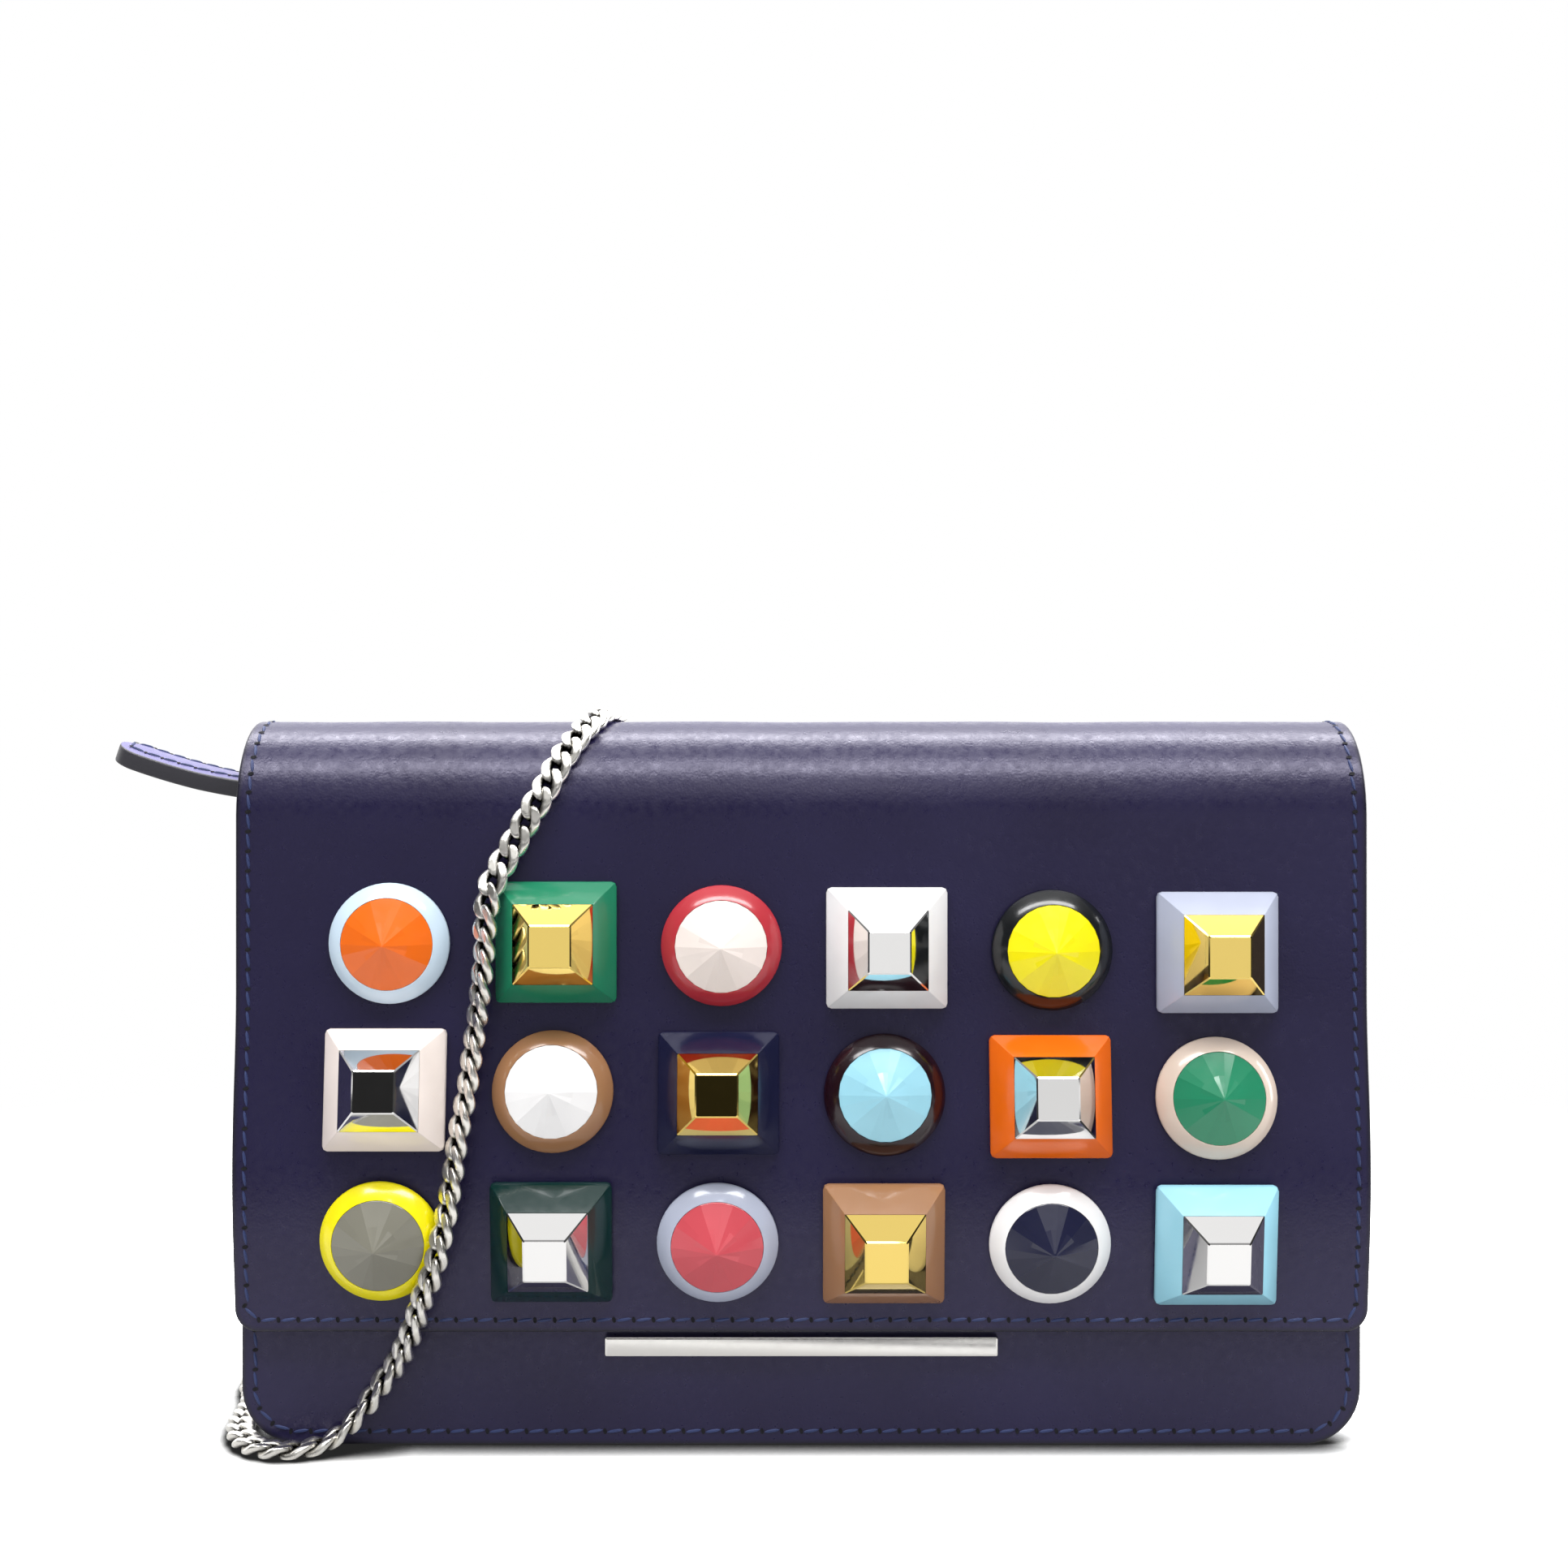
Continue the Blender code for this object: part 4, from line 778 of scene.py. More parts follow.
PLATE = {"grain": 2.2 * MM, "bump": 0.05, "depth": 0.02 * MM, "detail": 5.0, "spread": (0.6, 1.6),
         "metallic": 1.0}
EDGE_PAINT = plain("edge paint, near black", "#141318", 0.45, grain=0.3 * MM)
THREAD = plain("blue polyester thread", "#2b3763", 0.55, grain=0.12 * MM, bump=0.5)
NEEDLE_HOLE = plain("needle hole shadow", "#0b0a12", 0.9)

# %% [markdown]
# ## Leather sheets
# Each panel is two plies glued into a 2.2 mm sheet with slightly rounded edges. A sheet is a
# surface of two parameters: s runs along a profile (up the back, over the roll and down the
# front) and x across it. Its outline is a rounded rectangle in (x, s). The distance d from that
# outline rounds the edge: half the thickness is T/2 - r + sqrt(r^2 - (r - d)^2) for d below r.

# %% Outline of a sheet
EDGE_ROUND, PAINTED = 0.45 * MM, 0.35 * MM
FINE_STEPS = np.array([0, 0.08, 0.2, 0.4, 0.65, 1.0, 1.5, 2.1, 2.8, 3.6, 4.6, 6.0, 7.6, 9.4, 11.4,
                       13.2]) * MM


def outline_distance(x, s, half, length, foot_radius, head_radius):
    """Distance inside a rounded rectangle |x| < half, 0 < s < length with two corner radii."""
    radius = np.where(s < length / 2, foot_radius, head_radius)
    across, along = half - np.abs(x), np.minimum(s, length - s)
    corner = (across < radius) & (along < radius)
    round_part = radius - np.hypot(radius - across, radius - along)
    return np.where(corner, round_part, np.minimum(across, along))


def half_at(s, half, length, foot_radius, head_radius):
    """Half the width at s: half - r + sqrt(r^2 - (r - s)^2) beside a corner."""
    width = np.full_like(s, half)
    for gap, radius in ((s, foot_radius), (length - s, head_radius)):
        drawn_in = half - radius + np.sqrt(np.maximum(radius**2 - (radius - gap) ** 2, 0))
        width = np.where(gap < radius, drawn_in, width)
    return width


def graded(length, fine, step):
    """Stations from 0 to length: close together in the edges' fine zone, a step apart between."""
    edge = FINE_STEPS[FINE_STEPS < fine]
    middle_count = max(3, round((length - 2 * edge[-1]) / step))
    middle = np.linspace(edge[-1], length - edge[-1], middle_count)
    return np.concatenate([edge, middle[1:-1], (length - edge)[::-1]])


print("stations across a 200 mm sheet:", len(graded(200 * MM, 6.5 * MM, 2.6 * MM)))

# %% [markdown]
# ## From outline to sheet
# A sheet modelled as a slab would have hard, even edges. This one keeps its rows dense near the
# border, where light shows the rounding, and wide in the middle. The outer face gets the long soft
# waves of hand work, and the lining side stays flat.


# %% Profile and sheet
class Profile:
    """The middle (y, z) and outward direction of a sheet, from a line drawn on its outer face."""

    def __init__(self, line, facing, half, waves):
        self.out = facing * beside(line)
        self.line = line - self.out * LEATHER / 2
        self.run = travelled(line)
        self.length, self.half, self.waves = float(self.run[-1]), half, waves

    def __call__(self, s):
        middle, out = sample(s, self.run, self.line, self.out)
        return middle, unit(out)

    def relief(self, points, s):
        """Lift points by the waves, in mm of x and s, fading over 8 mm to nothing at the sides."""
        out = self(s[:, 0])[1]
        fade = np.clip((self.half - np.abs(points[..., 0])) / (8 * MM), 0, 1)
        lift = self.waves(points[..., 0] / MM, s / MM) * MM * fade
        points = points.copy()
        points[..., 1:] += lift[..., None] * out[:, None]
        return points


def sheet(name, profile, corners):
    """A closed sheet: points P(s) + h(d) N(s) at x, above and below, joined round the border."""
    half, length = profile.half, profile.length
    s = graded(length, 14.5 * MM, 1.8 * MM)
    across = graded(2 * half, 6.5 * MM, 2.6 * MM) / half - 1
    widths = half_at(s, half, length, *corners)[:, None]
    inset = half * (1 - np.abs(across))[None]
    near_edge = 1 - ease(inset, 6.0 * MM, 0.6 * half)
    x = np.sign(across) * ((widths - inset) * near_edge + np.abs(across) * widths * (1 - near_edge))
    s_grid = np.broadcast_to(s[:, None], x.shape)
    d = np.maximum(outline_distance(x, s_grid, half, length, *corners), 0)
    cut_in = EDGE_ROUND - np.minimum(d, EDGE_ROUND)
    h = (LEATHER / 2 - EDGE_ROUND + np.sqrt(EDGE_ROUND**2 - cut_in**2))[..., None]
    middle, out = (v[:, None] for v in profile(s))
    face, lining = (np.concatenate([x[..., None], middle + side * h * out], -1) for side in (1, -1))
    points = np.concatenate([profile.relief(face, s_grid).reshape(-1, 3), lining.reshape(-1, 3)])
    n, m = x.shape
    top = grid_faces(n, m)
    under = top[:, ::-1] + n * m
    ring = np.concatenate([np.arange(m), np.arange(1, n) * m + m - 1,
                           (n - 1) * m + np.arange(m - 2, -1, -1), np.arange(n - 2, 0, -1) * m])
    following = np.roll(ring, -1)
    wall = np.stack([ring, ring + n * m, following + n * m, following], -1)
    faces = np.vstack([top, under, wall])
    shore = np.tile(d.ravel(), 2)
    finish = np.repeat([0, 1, 2], [len(top), len(under), len(wall)])
    finish = np.where(shore[faces].max(1) < PAINTED, 2, finish)
    made = build(name, points, faces.tolist(), [CALF, LINING, EDGE_PAINT], finish, smooth=50)
    store(made, "edge_distance", shore / MM)
    print(name, round(length / MM, 1), "mm long")
    return made


# %% [markdown]
# ## The wrap
# Back, roll and flap are one piece of leather. Its profile goes straight up the back, round a
# half circle of 17 mm radius, and down the front, where it swells over what the wallet holds:
# b(z) = B (1 + cos(pi (z - z0) / reach)) / 2.


# %% Wrap
def swell(z):
    """How far the flap stands out at height z."""
    off = np.clip(np.abs(z - BULGE_Z) / BULGE_REACH, 0, 1)
    return BULGE * (1 + np.cos(np.pi * off)) / 2


def wrap_line():
    """The outer face's (y, z) line, from the back's foot over the roll to the flap's foot."""
    back = vectors(BACK_Y, np.linspace(0, ROLL_Z, 60))
    roll = arc(ROLL_R, 0, 180, 180, (ROLL_Y, ROLL_Z))
    z = np.linspace(ROLL_Z, FLAP_FOOT, 200)
    return np.vstack([back[:-1], roll, vectors(FLAP_Y - swell(z), z)[1:]])


def wrap_waves(x, s):
    """A few long waves, 0.05 to 0.1 mm high."""
    return (0.06 * np.sin(x / 17.0 + 1.3) * np.sin(s / 23.0 + 0.4)
            + 0.05 * np.sin(x / 7.3 + s / 31.0) + 0.03 * np.sin(x / 4.1 - s / 9.0 + 2.0))


WRAP = Profile(wrap_line(), 1, HALF_WRAP, wrap_waves)
wrap = sheet("leather_wrap", WRAP, (BASE_CORNER, FLAP_CORNER))
assign(wrap, None, "calfskin", "back_panel", "flap_panel")

# %% [markdown]
# ## Front panel
# The front of the body is a flat panel of the same leather with 10 mm corners at its foot. A hair
# of hollow keeps it from looking cast.


# %% Front panel
def front_waves(x, s):
    """One long wave, 0.05 mm deep."""
    return -0.05 * np.sin(x / 19.0 + 0.6) * np.sin(s / 13.0 + 1.0)


FRONT = Profile(np.array([(FRONT_Y, 0.0), (FRONT_Y, MOUTH_Z)]), -1, HALF_FRONT, front_waves)
front_panel = sheet("leather_front", FRONT, (BASE_CORNER, 0.3 * MM))
assign(front_panel, "wallet_body", "calfskin", "front_panel")

# %% [markdown]
# ## Stitching
# A saddle stitch shows as a row of short slanted dashes of waxed thread, each sunk into the
# leather at its ends. At 3.4 mm to a stitch there are a few hundred, so one stitch has only a few
# faces: an ellipsoid's upper skin. A dark tick, painted shade, marks the needle hole between two
# stitches.

# %% One row of stitches
STITCH_HALF = np.array([1.32, 0.29, 0.27]) * MM
HOLE_HALF, HOLE_LIFT = np.array([0.34, 0.55]) * MM, 0.05 * MM
STITCH_SLANT, STITCH_LENGTHS, STITCH_SIDES, HOLE_SIDES = math.radians(9), 7, 6, 8


def stitch_shape():
    """A stitch along x: its radius is sqrt(1 - |x|^2.6) of the middle's, blunter than an oval."""
    along = np.linspace(-1, 1, STITCH_LENGTHS)[:, None]
    radius = np.sqrt(np.maximum(1 - np.abs(along) ** 2.6, 0.02))
    c, s = circle(STITCH_SIDES)
    return vectors(along, radius * c, radius * s) * STITCH_HALF


def stitches(name, places, ahead, out, pitch=3.4 * MM):
    """Thread and holes at places along a row; ahead and out are its tangent and surface normals."""
    run = travelled(places)
    count = round(run[-1] / pitch)
    marks = (np.arange(count) + 0.5) * run[-1] / count
    spot, t, n = sample(marks, run, places, ahead, out)
    t = unit(t)
    n = square_to(t, n)
    side = np.cross(n, t)
    between = spot + t * run[-1] / count / 2
    c, s = math.cos(STITCH_SLANT), math.sin(STITCH_SLANT)
    t, side = t * c + side * s, side * c - t * s
    shape = stitch_shape()
    points = copies(shape, spot, (t, side, n))
    each = STITCH_LENGTHS * STITCH_SIDES
    ends = [list(range(STITCH_SIDES))[::-1], list(range(each - STITCH_SIDES, each))]
    solid = copied_faces(grid_faces(STITCH_LENGTHS, STITCH_SIDES, wrap_columns=True), count, each)
    solid += copied_faces(ends, count, each)
    tick = vectors(*circle(HOLE_SIDES)) * HOLE_HALF
    holes = between[:, None] + tick[None, :, 0:1] * t[:, None] + tick[None, :, 1:2] * side[:, None]
    holes = holes + n[:, None] * HOLE_LIFT
    rims = (np.arange(count * HOLE_SIDES).reshape(count, HOLE_SIDES) + count * each).tolist()
    everything = np.concatenate([points.reshape(-1, 3), holes.reshape(-1, 3)])
    index = [0] * len(solid) + [1] * count
    return build(name, everything, solid + rims, [THREAD, NEEDLE_HOLE], index, flip_check=False)


def border_path(half, length, inset, foot_radius, head_radius):
    """The (x, s) line round a sheet at an inset from its outline, starting at its foot's middle."""
    low, high = max(foot_radius - inset, 0.2 * MM), max(head_radius - inset, 0.2 * MM)
    x, top, foot = half - inset, length - inset, [[0.0, inset]]
    corners = ((low, -90, x - low, inset + low), (high, 0, x - high, top - high),
               (high, 90, high - x, top - high), (low, 180, low - x, inset + low))
    legs = [arc(radius, start, start + 90, 16, at) for radius, start, *at in corners]
    return even(np.vstack([foot, *legs, foot]), 0.5 * MM)


def border_stitches(name, profile, *border):
    """A row round a sheet's outer face."""
    row = border_path(profile.half, profile.length, *border)
    middle, out = profile(row[:, 1])
    places = np.column_stack([row[:, 0], middle + out * LEATHER / 2])
    places = profile.relief(places[:, None], row[:, 1:])[:, 0]
    return stitches(name, places, np.gradient(places, axis=0), vectors(0, *out.T))


wrap_stitches = border_stitches("wrap_stitches", WRAP, 2.2 * MM, BASE_CORNER, 5.2 * MM)
front_stitches = border_stitches("front_stitches", FRONT, 2.4 * MM, BASE_CORNER, 0.5 * MM)
assign(front_stitches, "wallet_body")
for piece in (wrap, wrap_stitches):
    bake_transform(piece)

# %% [markdown]
# ## Studs
# Each stud is two pieces: a moulded rim, lacquered and polished, and a centre seated in it. Round
# rims hold a lacquered cone cut into shallow facets. Square rims slope at 53 degrees and hold a
# metal pyramid on the same slope, polished like a mirror.

# %% Stud sizes and colours
SEAM, SINK = 0.3 * MM, 0.02 * MM
STUD_HALF = 10.4 * MM
SQUARE_SIDE, SQUARE_SEAT, PYRAMID_TOP = 1.2 * MM, 6.8 * MM, 3.5 * MM
ROUND_SIDE, ROUND_HEIGHT, ROUND_SEAT, CONE_HEIGHT = 0.9 * MM, 3.0 * MM, 7.9 * MM, 6.8 * MM
SLOPE = math.tan(math.radians(53))
STUDS = (
    "round sky orange, square green gold, round crimson blush, "
    "square white silver, round black yellow, square slate gold",
    "square blush silver, round tan white, square navy gold, "
    "round oxblood azure, square orange silver, round beige green",
    "round yellow grey, square bottle silver, round slate coral, "
    "square tan gold, round white navy, square azure silver",
)
ENAMEL = {
    "sky": "#d0e4f4", "orange": "#f06c12", "green": "#23815d", "crimson": "#ba343e",
    "blush": "#f8ebe4", "beige": "#d8c6b7", "white": "#f6f5f5", "black": "#151719",
    "yellow": "#f8ea05", "slate": "#b2b8cb", "tan": "#9f7350", "navy": "#1b1d38",
    "oxblood": "#200b13", "azure": "#9cd6e8", "grey": "#7e7c70", "bottle": "#0b2c29",
    "coral": "#cc4e58",
}
print("colours of lacquer:", len(ENAMEL))

# %% [markdown]
# ## Lacquer and mirror plate
# The lacquer is two-pack, sprayed on a moulded core: a deep gloss with a trace of orange peel,
# which a weak bump gives, under a thin clear coat. The metal centres are vacuum plated over a
# polished core, so they are nearly mirrors, with hairlines left by the polishing.


# %% Stud finishes
def lacquer(name, colour):
    """Glossy paint: the shade drifts by 4 % either way; the peel moves gloss and surface alike."""
    material, add, place = new_material(name)
    peel = add("TexNoise", Vector=place, Scale=1 / (1.6 * MM), Detail=2.0)
    drift = add("TexNoise", Vector=place, Scale=1 / (9 * MM), Detail=2.0)
    relief = add("Bump", Height=peel, Strength=0.10, Distance=0.03 * MM)
    value = add("MapRange", Value=drift, To_Min=0.96, To_Max=1.04, **MIDDLE)
    tone = add("HueSaturation", Color=colour, Value=value)
    rough = add("MapRange", Value=peel, To_Min=0.16, To_Max=0.24, **MIDDLE)
    add("OutputMaterial", Surface=add(
        "BsdfPrincipled", Base_Color=tone, Roughness=rough, Normal=relief, IOR=1.5,
        Coat_Weight=0.3, Coat_Roughness=0.03))
    return material


FINISH = {tone: lacquer(f"{tone} lacquer on moulded core", code) for tone, code in ENAMEL.items()}
FINISH["gold"] = plain("pale gold plate, mirror polished", "#eccf74", 0.035, **PLATE)
FINISH["silver"] = plain("palladium plate, mirror polished", "#ebeae9", 0.035, **PLATE)

# %% [markdown]
# ## Shapes of the studs
# A stud is turned or milled, so its shape is a pile of loops: round ones for the cone and its rim,
# rounded squares for the pyramid and its frame. The bevels of 0.1 to 0.3 mm matter most, because
# they catch the bright lines along the ridges. All lie in the stud's own frame, Z outward.


# %% Stud shapes
def square_rim():
    """Upright outside, a rounded shoulder, the 53 degree slope, and a hole with upright walls."""
    top = SQUARE_SIDE + (STUD_HALF - SQUARE_SEAT) * SLOPE
    loops = (
        (STUD_HALF - 0.15 * MM, 0.75 * MM, 0.0),
        (STUD_HALF, 0.9 * MM, 0.15 * MM),
        (STUD_HALF, 0.9 * MM, SQUARE_SIDE - 0.25 * MM),
        (STUD_HALF - 0.06 * MM, 0.85 * MM, SQUARE_SIDE - 0.04 * MM),
        (STUD_HALF - 0.28 * MM, 0.40 * MM, SQUARE_SIDE + 0.30 * MM),
        (SQUARE_SEAT + 0.16 * MM, 0.30 * MM, top - 0.16 * MM * SLOPE),
        (SQUARE_SEAT + 0.02 * MM, 0.08 * MM, top - 0.06 * MM),
        (SQUARE_SEAT, 0.06 * MM, top - 0.16 * MM),
        (SQUARE_SEAT, 0.06 * MM, 0.0),
    )
    return closed(np.array([rounded_loop(half, half, corner, z) for half, corner, z in loops]))


def pyramid():
    """A block in the seat, the frame's slope again, thin bevels on its ridges, a flat top."""
    base = SQUARE_SEAT - SINK
    shoulder = SQUARE_SIDE + (STUD_HALF - base) * SLOPE
    top = shoulder + (base - PYRAMID_TOP) * SLOPE
    loops = (
        (base, 0.16 * MM, SEAM),
        (base, 0.16 * MM, shoulder - 0.04 * MM),
        (base - 0.05 * MM, 0.18 * MM, shoulder + 0.03 * MM),
        (PYRAMID_TOP + 0.15 * MM, 0.24 * MM, top - 0.17 * MM),
        (PYRAMID_TOP - 0.12 * MM, 0.16 * MM, top),
    )
    return capped(np.array([rounded_loop(half, half, corner, z, 2) for half, corner, z in loops]))


def round_rim():
    """A ring that slopes up to its seat: with u from 0 outside to 1 inside, the height is
    side + high (1.35 u - 0.35 u^2), so it eases from 50 to 30 degrees."""
    u = np.linspace(0, 1, 12)
    wide = STUD_HALF - ROUND_SEAT - 0.24 * MM
    high = ROUND_HEIGHT - ROUND_SIDE - 0.12 * MM
    slope = vectors(STUD_HALF - 0.18 * MM - wide * u,
                    ROUND_SIDE + 0.12 * MM + high * (1.35 * u - 0.35 * u * u))
    profile = np.vstack([(STUD_HALF - 0.15 * MM, 0.0), (STUD_HALF, 0.15 * MM),
                         (STUD_HALF, ROUND_SIDE - 0.25 * MM),
                         (STUD_HALF - 0.05 * MM, ROUND_SIDE - 0.06 * MM), slope,
                         (ROUND_SEAT, ROUND_HEIGHT - 0.06 * MM), (ROUND_SEAT, 0.0)])
    return closed(revolved(profile, 56))


def cone(facets=26):
    """A cone of flat facets on a round block: each leans a little more or less than the next."""
    radius = ROUND_SEAT - SINK
    profile = [(radius, SEAM), (radius, ROUND_HEIGHT - 0.06 * MM),
               (radius - 0.07 * MM, ROUND_HEIGHT + 0.01 * MM),
               (radius * 0.5, (ROUND_HEIGHT + CONE_HEIGHT) / 2),
               (0.45 * MM, CONE_HEIGHT - 0.16 * MM), (0.12 * MM, CONE_HEIGHT - 0.03 * MM)]
    rings = revolved(profile, facets)
    k = np.arange(facets)
    rings[3, :, 2] += 0.10 * MM * np.sin(k * 2.4 + 0.8) + 0.04 * MM * np.sin(k * 5.3)
    return capped(rings)


print("points in frame, pyramid, ring and cone:",
      [len(shape()[0]) for shape in (square_rim, pyramid, round_rim, cone)])

# %% [markdown]
# ## Setting the studs
# Studs are riveted through the leather by hand, so the rows slope a little and four studs sit off
# their row. Each one leans with the flap's swell, which is why its frame is worked out at its seat.

# %% Studs on the flap
# aside and up in mm of the four studs off their row
NUDGES = {"r1c1": (-0.3, -0.37), "r1c2": (0.0, 0.23), "r2c1": (-0.3, 0.0), "r3c1": (-0.8, 0.0)}
ROW_DROPS, ROW_SLOPES = (22.2 * MM, 47.33 * MM, 72.58 * MM), (0.0135, 0.0098, 0.0043)
# of the rim and of the centre: piece, shape, smoothing in degrees, solid and kind of finish
KINDS = {"square": (("frame", square_rim, 30, "square_rim", "enamel"),
                    ("point", pyramid, 10, "pyramid", "metal")),
         "round": (("frame", round_rim, 40, "round_rim", "enamel"),
                   ("point", cone, 4, "cone", "enamel"))}
# the parts list has one slot for both pale pinks
SLOT = {"beige": "blush"}


def seat_frame(x, z):
    """Seat point and outward tilt: the leather's slope there is the swell's."""
    step = 0.5 * MM
    tilt = math.atan2(swell(z - step) - swell(z + step), 2 * step)
    c, s = math.sin(tilt), math.cos(tilt)
    spot = np.array([x, FLAP_Y - swell(z) - SEAM * s, z + SEAM * c])
    return spot, np.array([[1, 0, 0], [0, c, -s], [0, s, c]])


for row, kinds in enumerate(STUDS):
    for column, words in enumerate(kinds.split(", ")):
        kind, rim, centre = words.split()
        label = f"r{row + 1}c{column + 1}"
        aside, up = NUDGES.get(label, (0.0, 0.0))
        x = np.mean(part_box(f"{kind}_rim_{label}"), 0)[0]
        z = ROLL_Z - ROW_DROPS[row] - ROW_SLOPES[row] * x + up * MM
        spot, turn = seat_frame(x + aside * MM, z)
        for (name, shape, smooth, solid, finish), tone in zip(KINDS[kind], (rim, centre)):
            points, faces = shape()
            points = points @ turn.T + spot
            made = build(f"{name}_{label}", points, faces, [FINISH[tone]], smooth=smooth)
            assign(made, "flap", f"{SLOT.get(tone, tone)}_{finish}", f"{solid}_{label}")

# %% [markdown]
# ## Bar under the flap
# A bright metal bar marks the middle of the front. It is milled from flat stock with its front
# arrises broken, and left bare. It is drawn as loops from back to front, and the last two make the
# broken arris.


# %% Bar
def bar_shape(box, bevel=0.35 * MM):
    """Rounded loops in (x, z), each at its own depth y."""
    (x0, y0, z0), (x1, y1, z1) = box
    wide, high, centre = (x1 - x0) / 2, (z1 - z0) / 2, ((x0 + x1) / 2, (z0 + z1) / 2)
    loops = []
    for inset, y in ((0, y1), (0, y0 + bevel), (bevel * 0.3, y0 + bevel * 0.3), (bevel, y0)):
        corner = max(0.30 * MM - inset * 0.5, 0.08 * MM)
        loops.append(rounded_loop(wide - inset, high - inset, corner, y, 4, centre))
    return capped(np.array(loops)[..., [0, 2, 1]])


BAR_FINISH = polished_steel("rhodium plated bar, satin", "#f3f1ed", roughness=0.22)
bar = build("metal_bar", *bar_shape(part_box("front_bar")), [BAR_FINISH], smooth=25)
assign(bar, "wallet_body", "silver_metal", "front_bar")

# %% [markdown]
# ## Bellows gusset
# The sides and bottom are one strip of leather folded inwards in a bellows and sewn between the
# panels. Its section is a smooth fold, carried along a U: down one side, round the two bottom
# corners and up the other.

# %% Gusset
MID_Y = np.mean([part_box("zip_pocket_front"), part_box("zip_pocket_back")], (0, 1))[1]
FLANGE, FOLD, RIDGE_HALF, FOLD_HALF, GUSSET = 6.8 * MM, 10.3 * MM, 7.0 * MM, 9.8 * MM, 1.2 * MM
SAG_FROM = 6.7 * MM


def gusset_section(points=56):
    """Closed (y, inset) section. The middle line runs in along a flange, over the fold and out
    again; its corners are rounded by averaging, and the two faces stand half a thickness off."""
    front, back = FRONT_Y + LEATHER + SEAM + GUSSET / 2, BACK_Y - LEATHER - SEAM - GUSSET / 2
    y = [front, front, MID_Y - FOLD_HALF, MID_Y - RIDGE_HALF, MID_Y, MID_Y + RIDGE_HALF,
         MID_Y + FOLD_HALF, back, back]
    start, foot = 0.9 * MM, FLANGE + 0.5 * MM
    z = [start, FLANGE, foot, FOLD, FOLD + 0.15 * MM, FOLD, foot, FLANGE, start]
    line = even(vectors(y, z), 0.3 * MM)
    for _ in range(7):
        line[1:-1] = (line[:-2] + 2 * line[1:-1] + line[2:]) / 4
    line = even(line, travelled(line)[-1] / (points - 1))
    count = np.arange(len(line))
    thin = np.minimum(1, 0.55 + np.minimum(count, count[::-1]) * 0.45)
    off = beside(line) * GUSSET / 2 * thin[:, None]
    return np.vstack([line + off, (line - off)[::-1]])


def u_path(top, half, radius):
    """Centres and turn of the U: x = cx + (r - inset) cos t, z = cz + (r - inset) sin t."""
    side, up = half - radius, np.linspace(top, radius + 2 * MM, 34)
    bend = np.linspace(math.pi, 1.5 * math.pi, 22)
    rows = [(-side, z, math.pi) for z in up] + [(-side, radius, t) for t in bend]
    rows += [(x, radius, 1.5 * math.pi) for x in np.linspace(-side, side, 60)[1:-1]]
    rows += [(side, radius, t + math.pi / 2) for t in bend]
    rows += [(side, z, 2 * math.pi) for z in up[::-1]]
    return np.array(rows)


def gusset_shape():
    """The section at each step of the U, with a slow sag of 0.18 mm in the fold."""
    y, inset = gusset_section().T[:, None]
    cx, cz, turn = u_path(MOUTH_Z, HALF_FRONT, GUSSET_CORNER).T[..., None]
    sag = 0.18 * MM * np.sin(np.arange(len(cx)) * 0.31)[:, None] * (inset > SAG_FROM)
    reach = GUSSET_CORNER - inset - sag
    return capped(vectors(cx + reach * np.cos(turn), y, cz + reach * np.sin(turn)))


gusset = build("bellows_gusset", *gusset_shape(), [SOFT_CALF], smooth=50)
assign(gusset, "wallet_body", "calfskin", "gusset")

# %% [markdown]
# ## Pull tab
# The zip's pull is two strips of calf sewn back to back over a padding, with one row of blue thread
# down one side, round the tip and back. It curls up towards its tip and rolls a little forward, so
# its top catches the light and its edge is dark. Its faces are a lighter lavender navy than the
# rest of the calf, a painted sheen for the bright room they reflect, and its edge paint is a
# lighter grey than the wallet's, painted light.

# %% Pull
PIN = np.array(joints["pull_swing"]["pos_m"])
PULL_LENGTH, PULL_HALF, PULL_RISE, PULL_ROLL = 42.0 * MM, 4.5 * MM, 8.3 * MM, math.radians(8.5)
PULL_THICK, CROWN, PULL_FILLET = 3.1 * MM, 0.6 * MM, 0.4 * MM
EYE_HALF, EYE_R, BORE_R, EYE_BEVEL = 1.6 * MM, 1.9 * MM, 1.1 * MM, 0.15 * MM
ACROSS, FILLET_STEPS = 15, 6


def pull_frames(along):
    """Middle point, width direction and lift direction of the strap at a distance from its pin."""
    share = along / PULL_LENGTH
    slope = np.arctan2(2 * PULL_RISE * share, PULL_LENGTH)
    roll = PULL_ROLL * np.minimum(share * 1.6, 1.0)
    steep, level = np.sin(slope), np.cos(slope)
    middle = PIN + vectors(-along, 0, PULL_RISE * share**2)
    lift = vectors(steep * np.cos(roll), -np.sin(roll), level * np.cos(roll))
    wide = vectors(steep * np.sin(roll), np.cos(roll), level * np.sin(roll))
    return middle, wide, lift


def pull_half(along):
    """Half width: a narrow neck at the pin, 9 mm along, and a round tip."""
    half = EYE_HALF + (PULL_HALF - EYE_HALF) * ease(along, 4 * MM, 8 * MM)
    left = np.minimum(PULL_LENGTH - along, PULL_HALF)
    tip = np.sqrt(np.maximum(PULL_HALF**2 - (PULL_HALF - left) ** 2, (0.1 * PULL_HALF) ** 2))
    return np.where(left < PULL_HALF, np.minimum(half, tip), half)


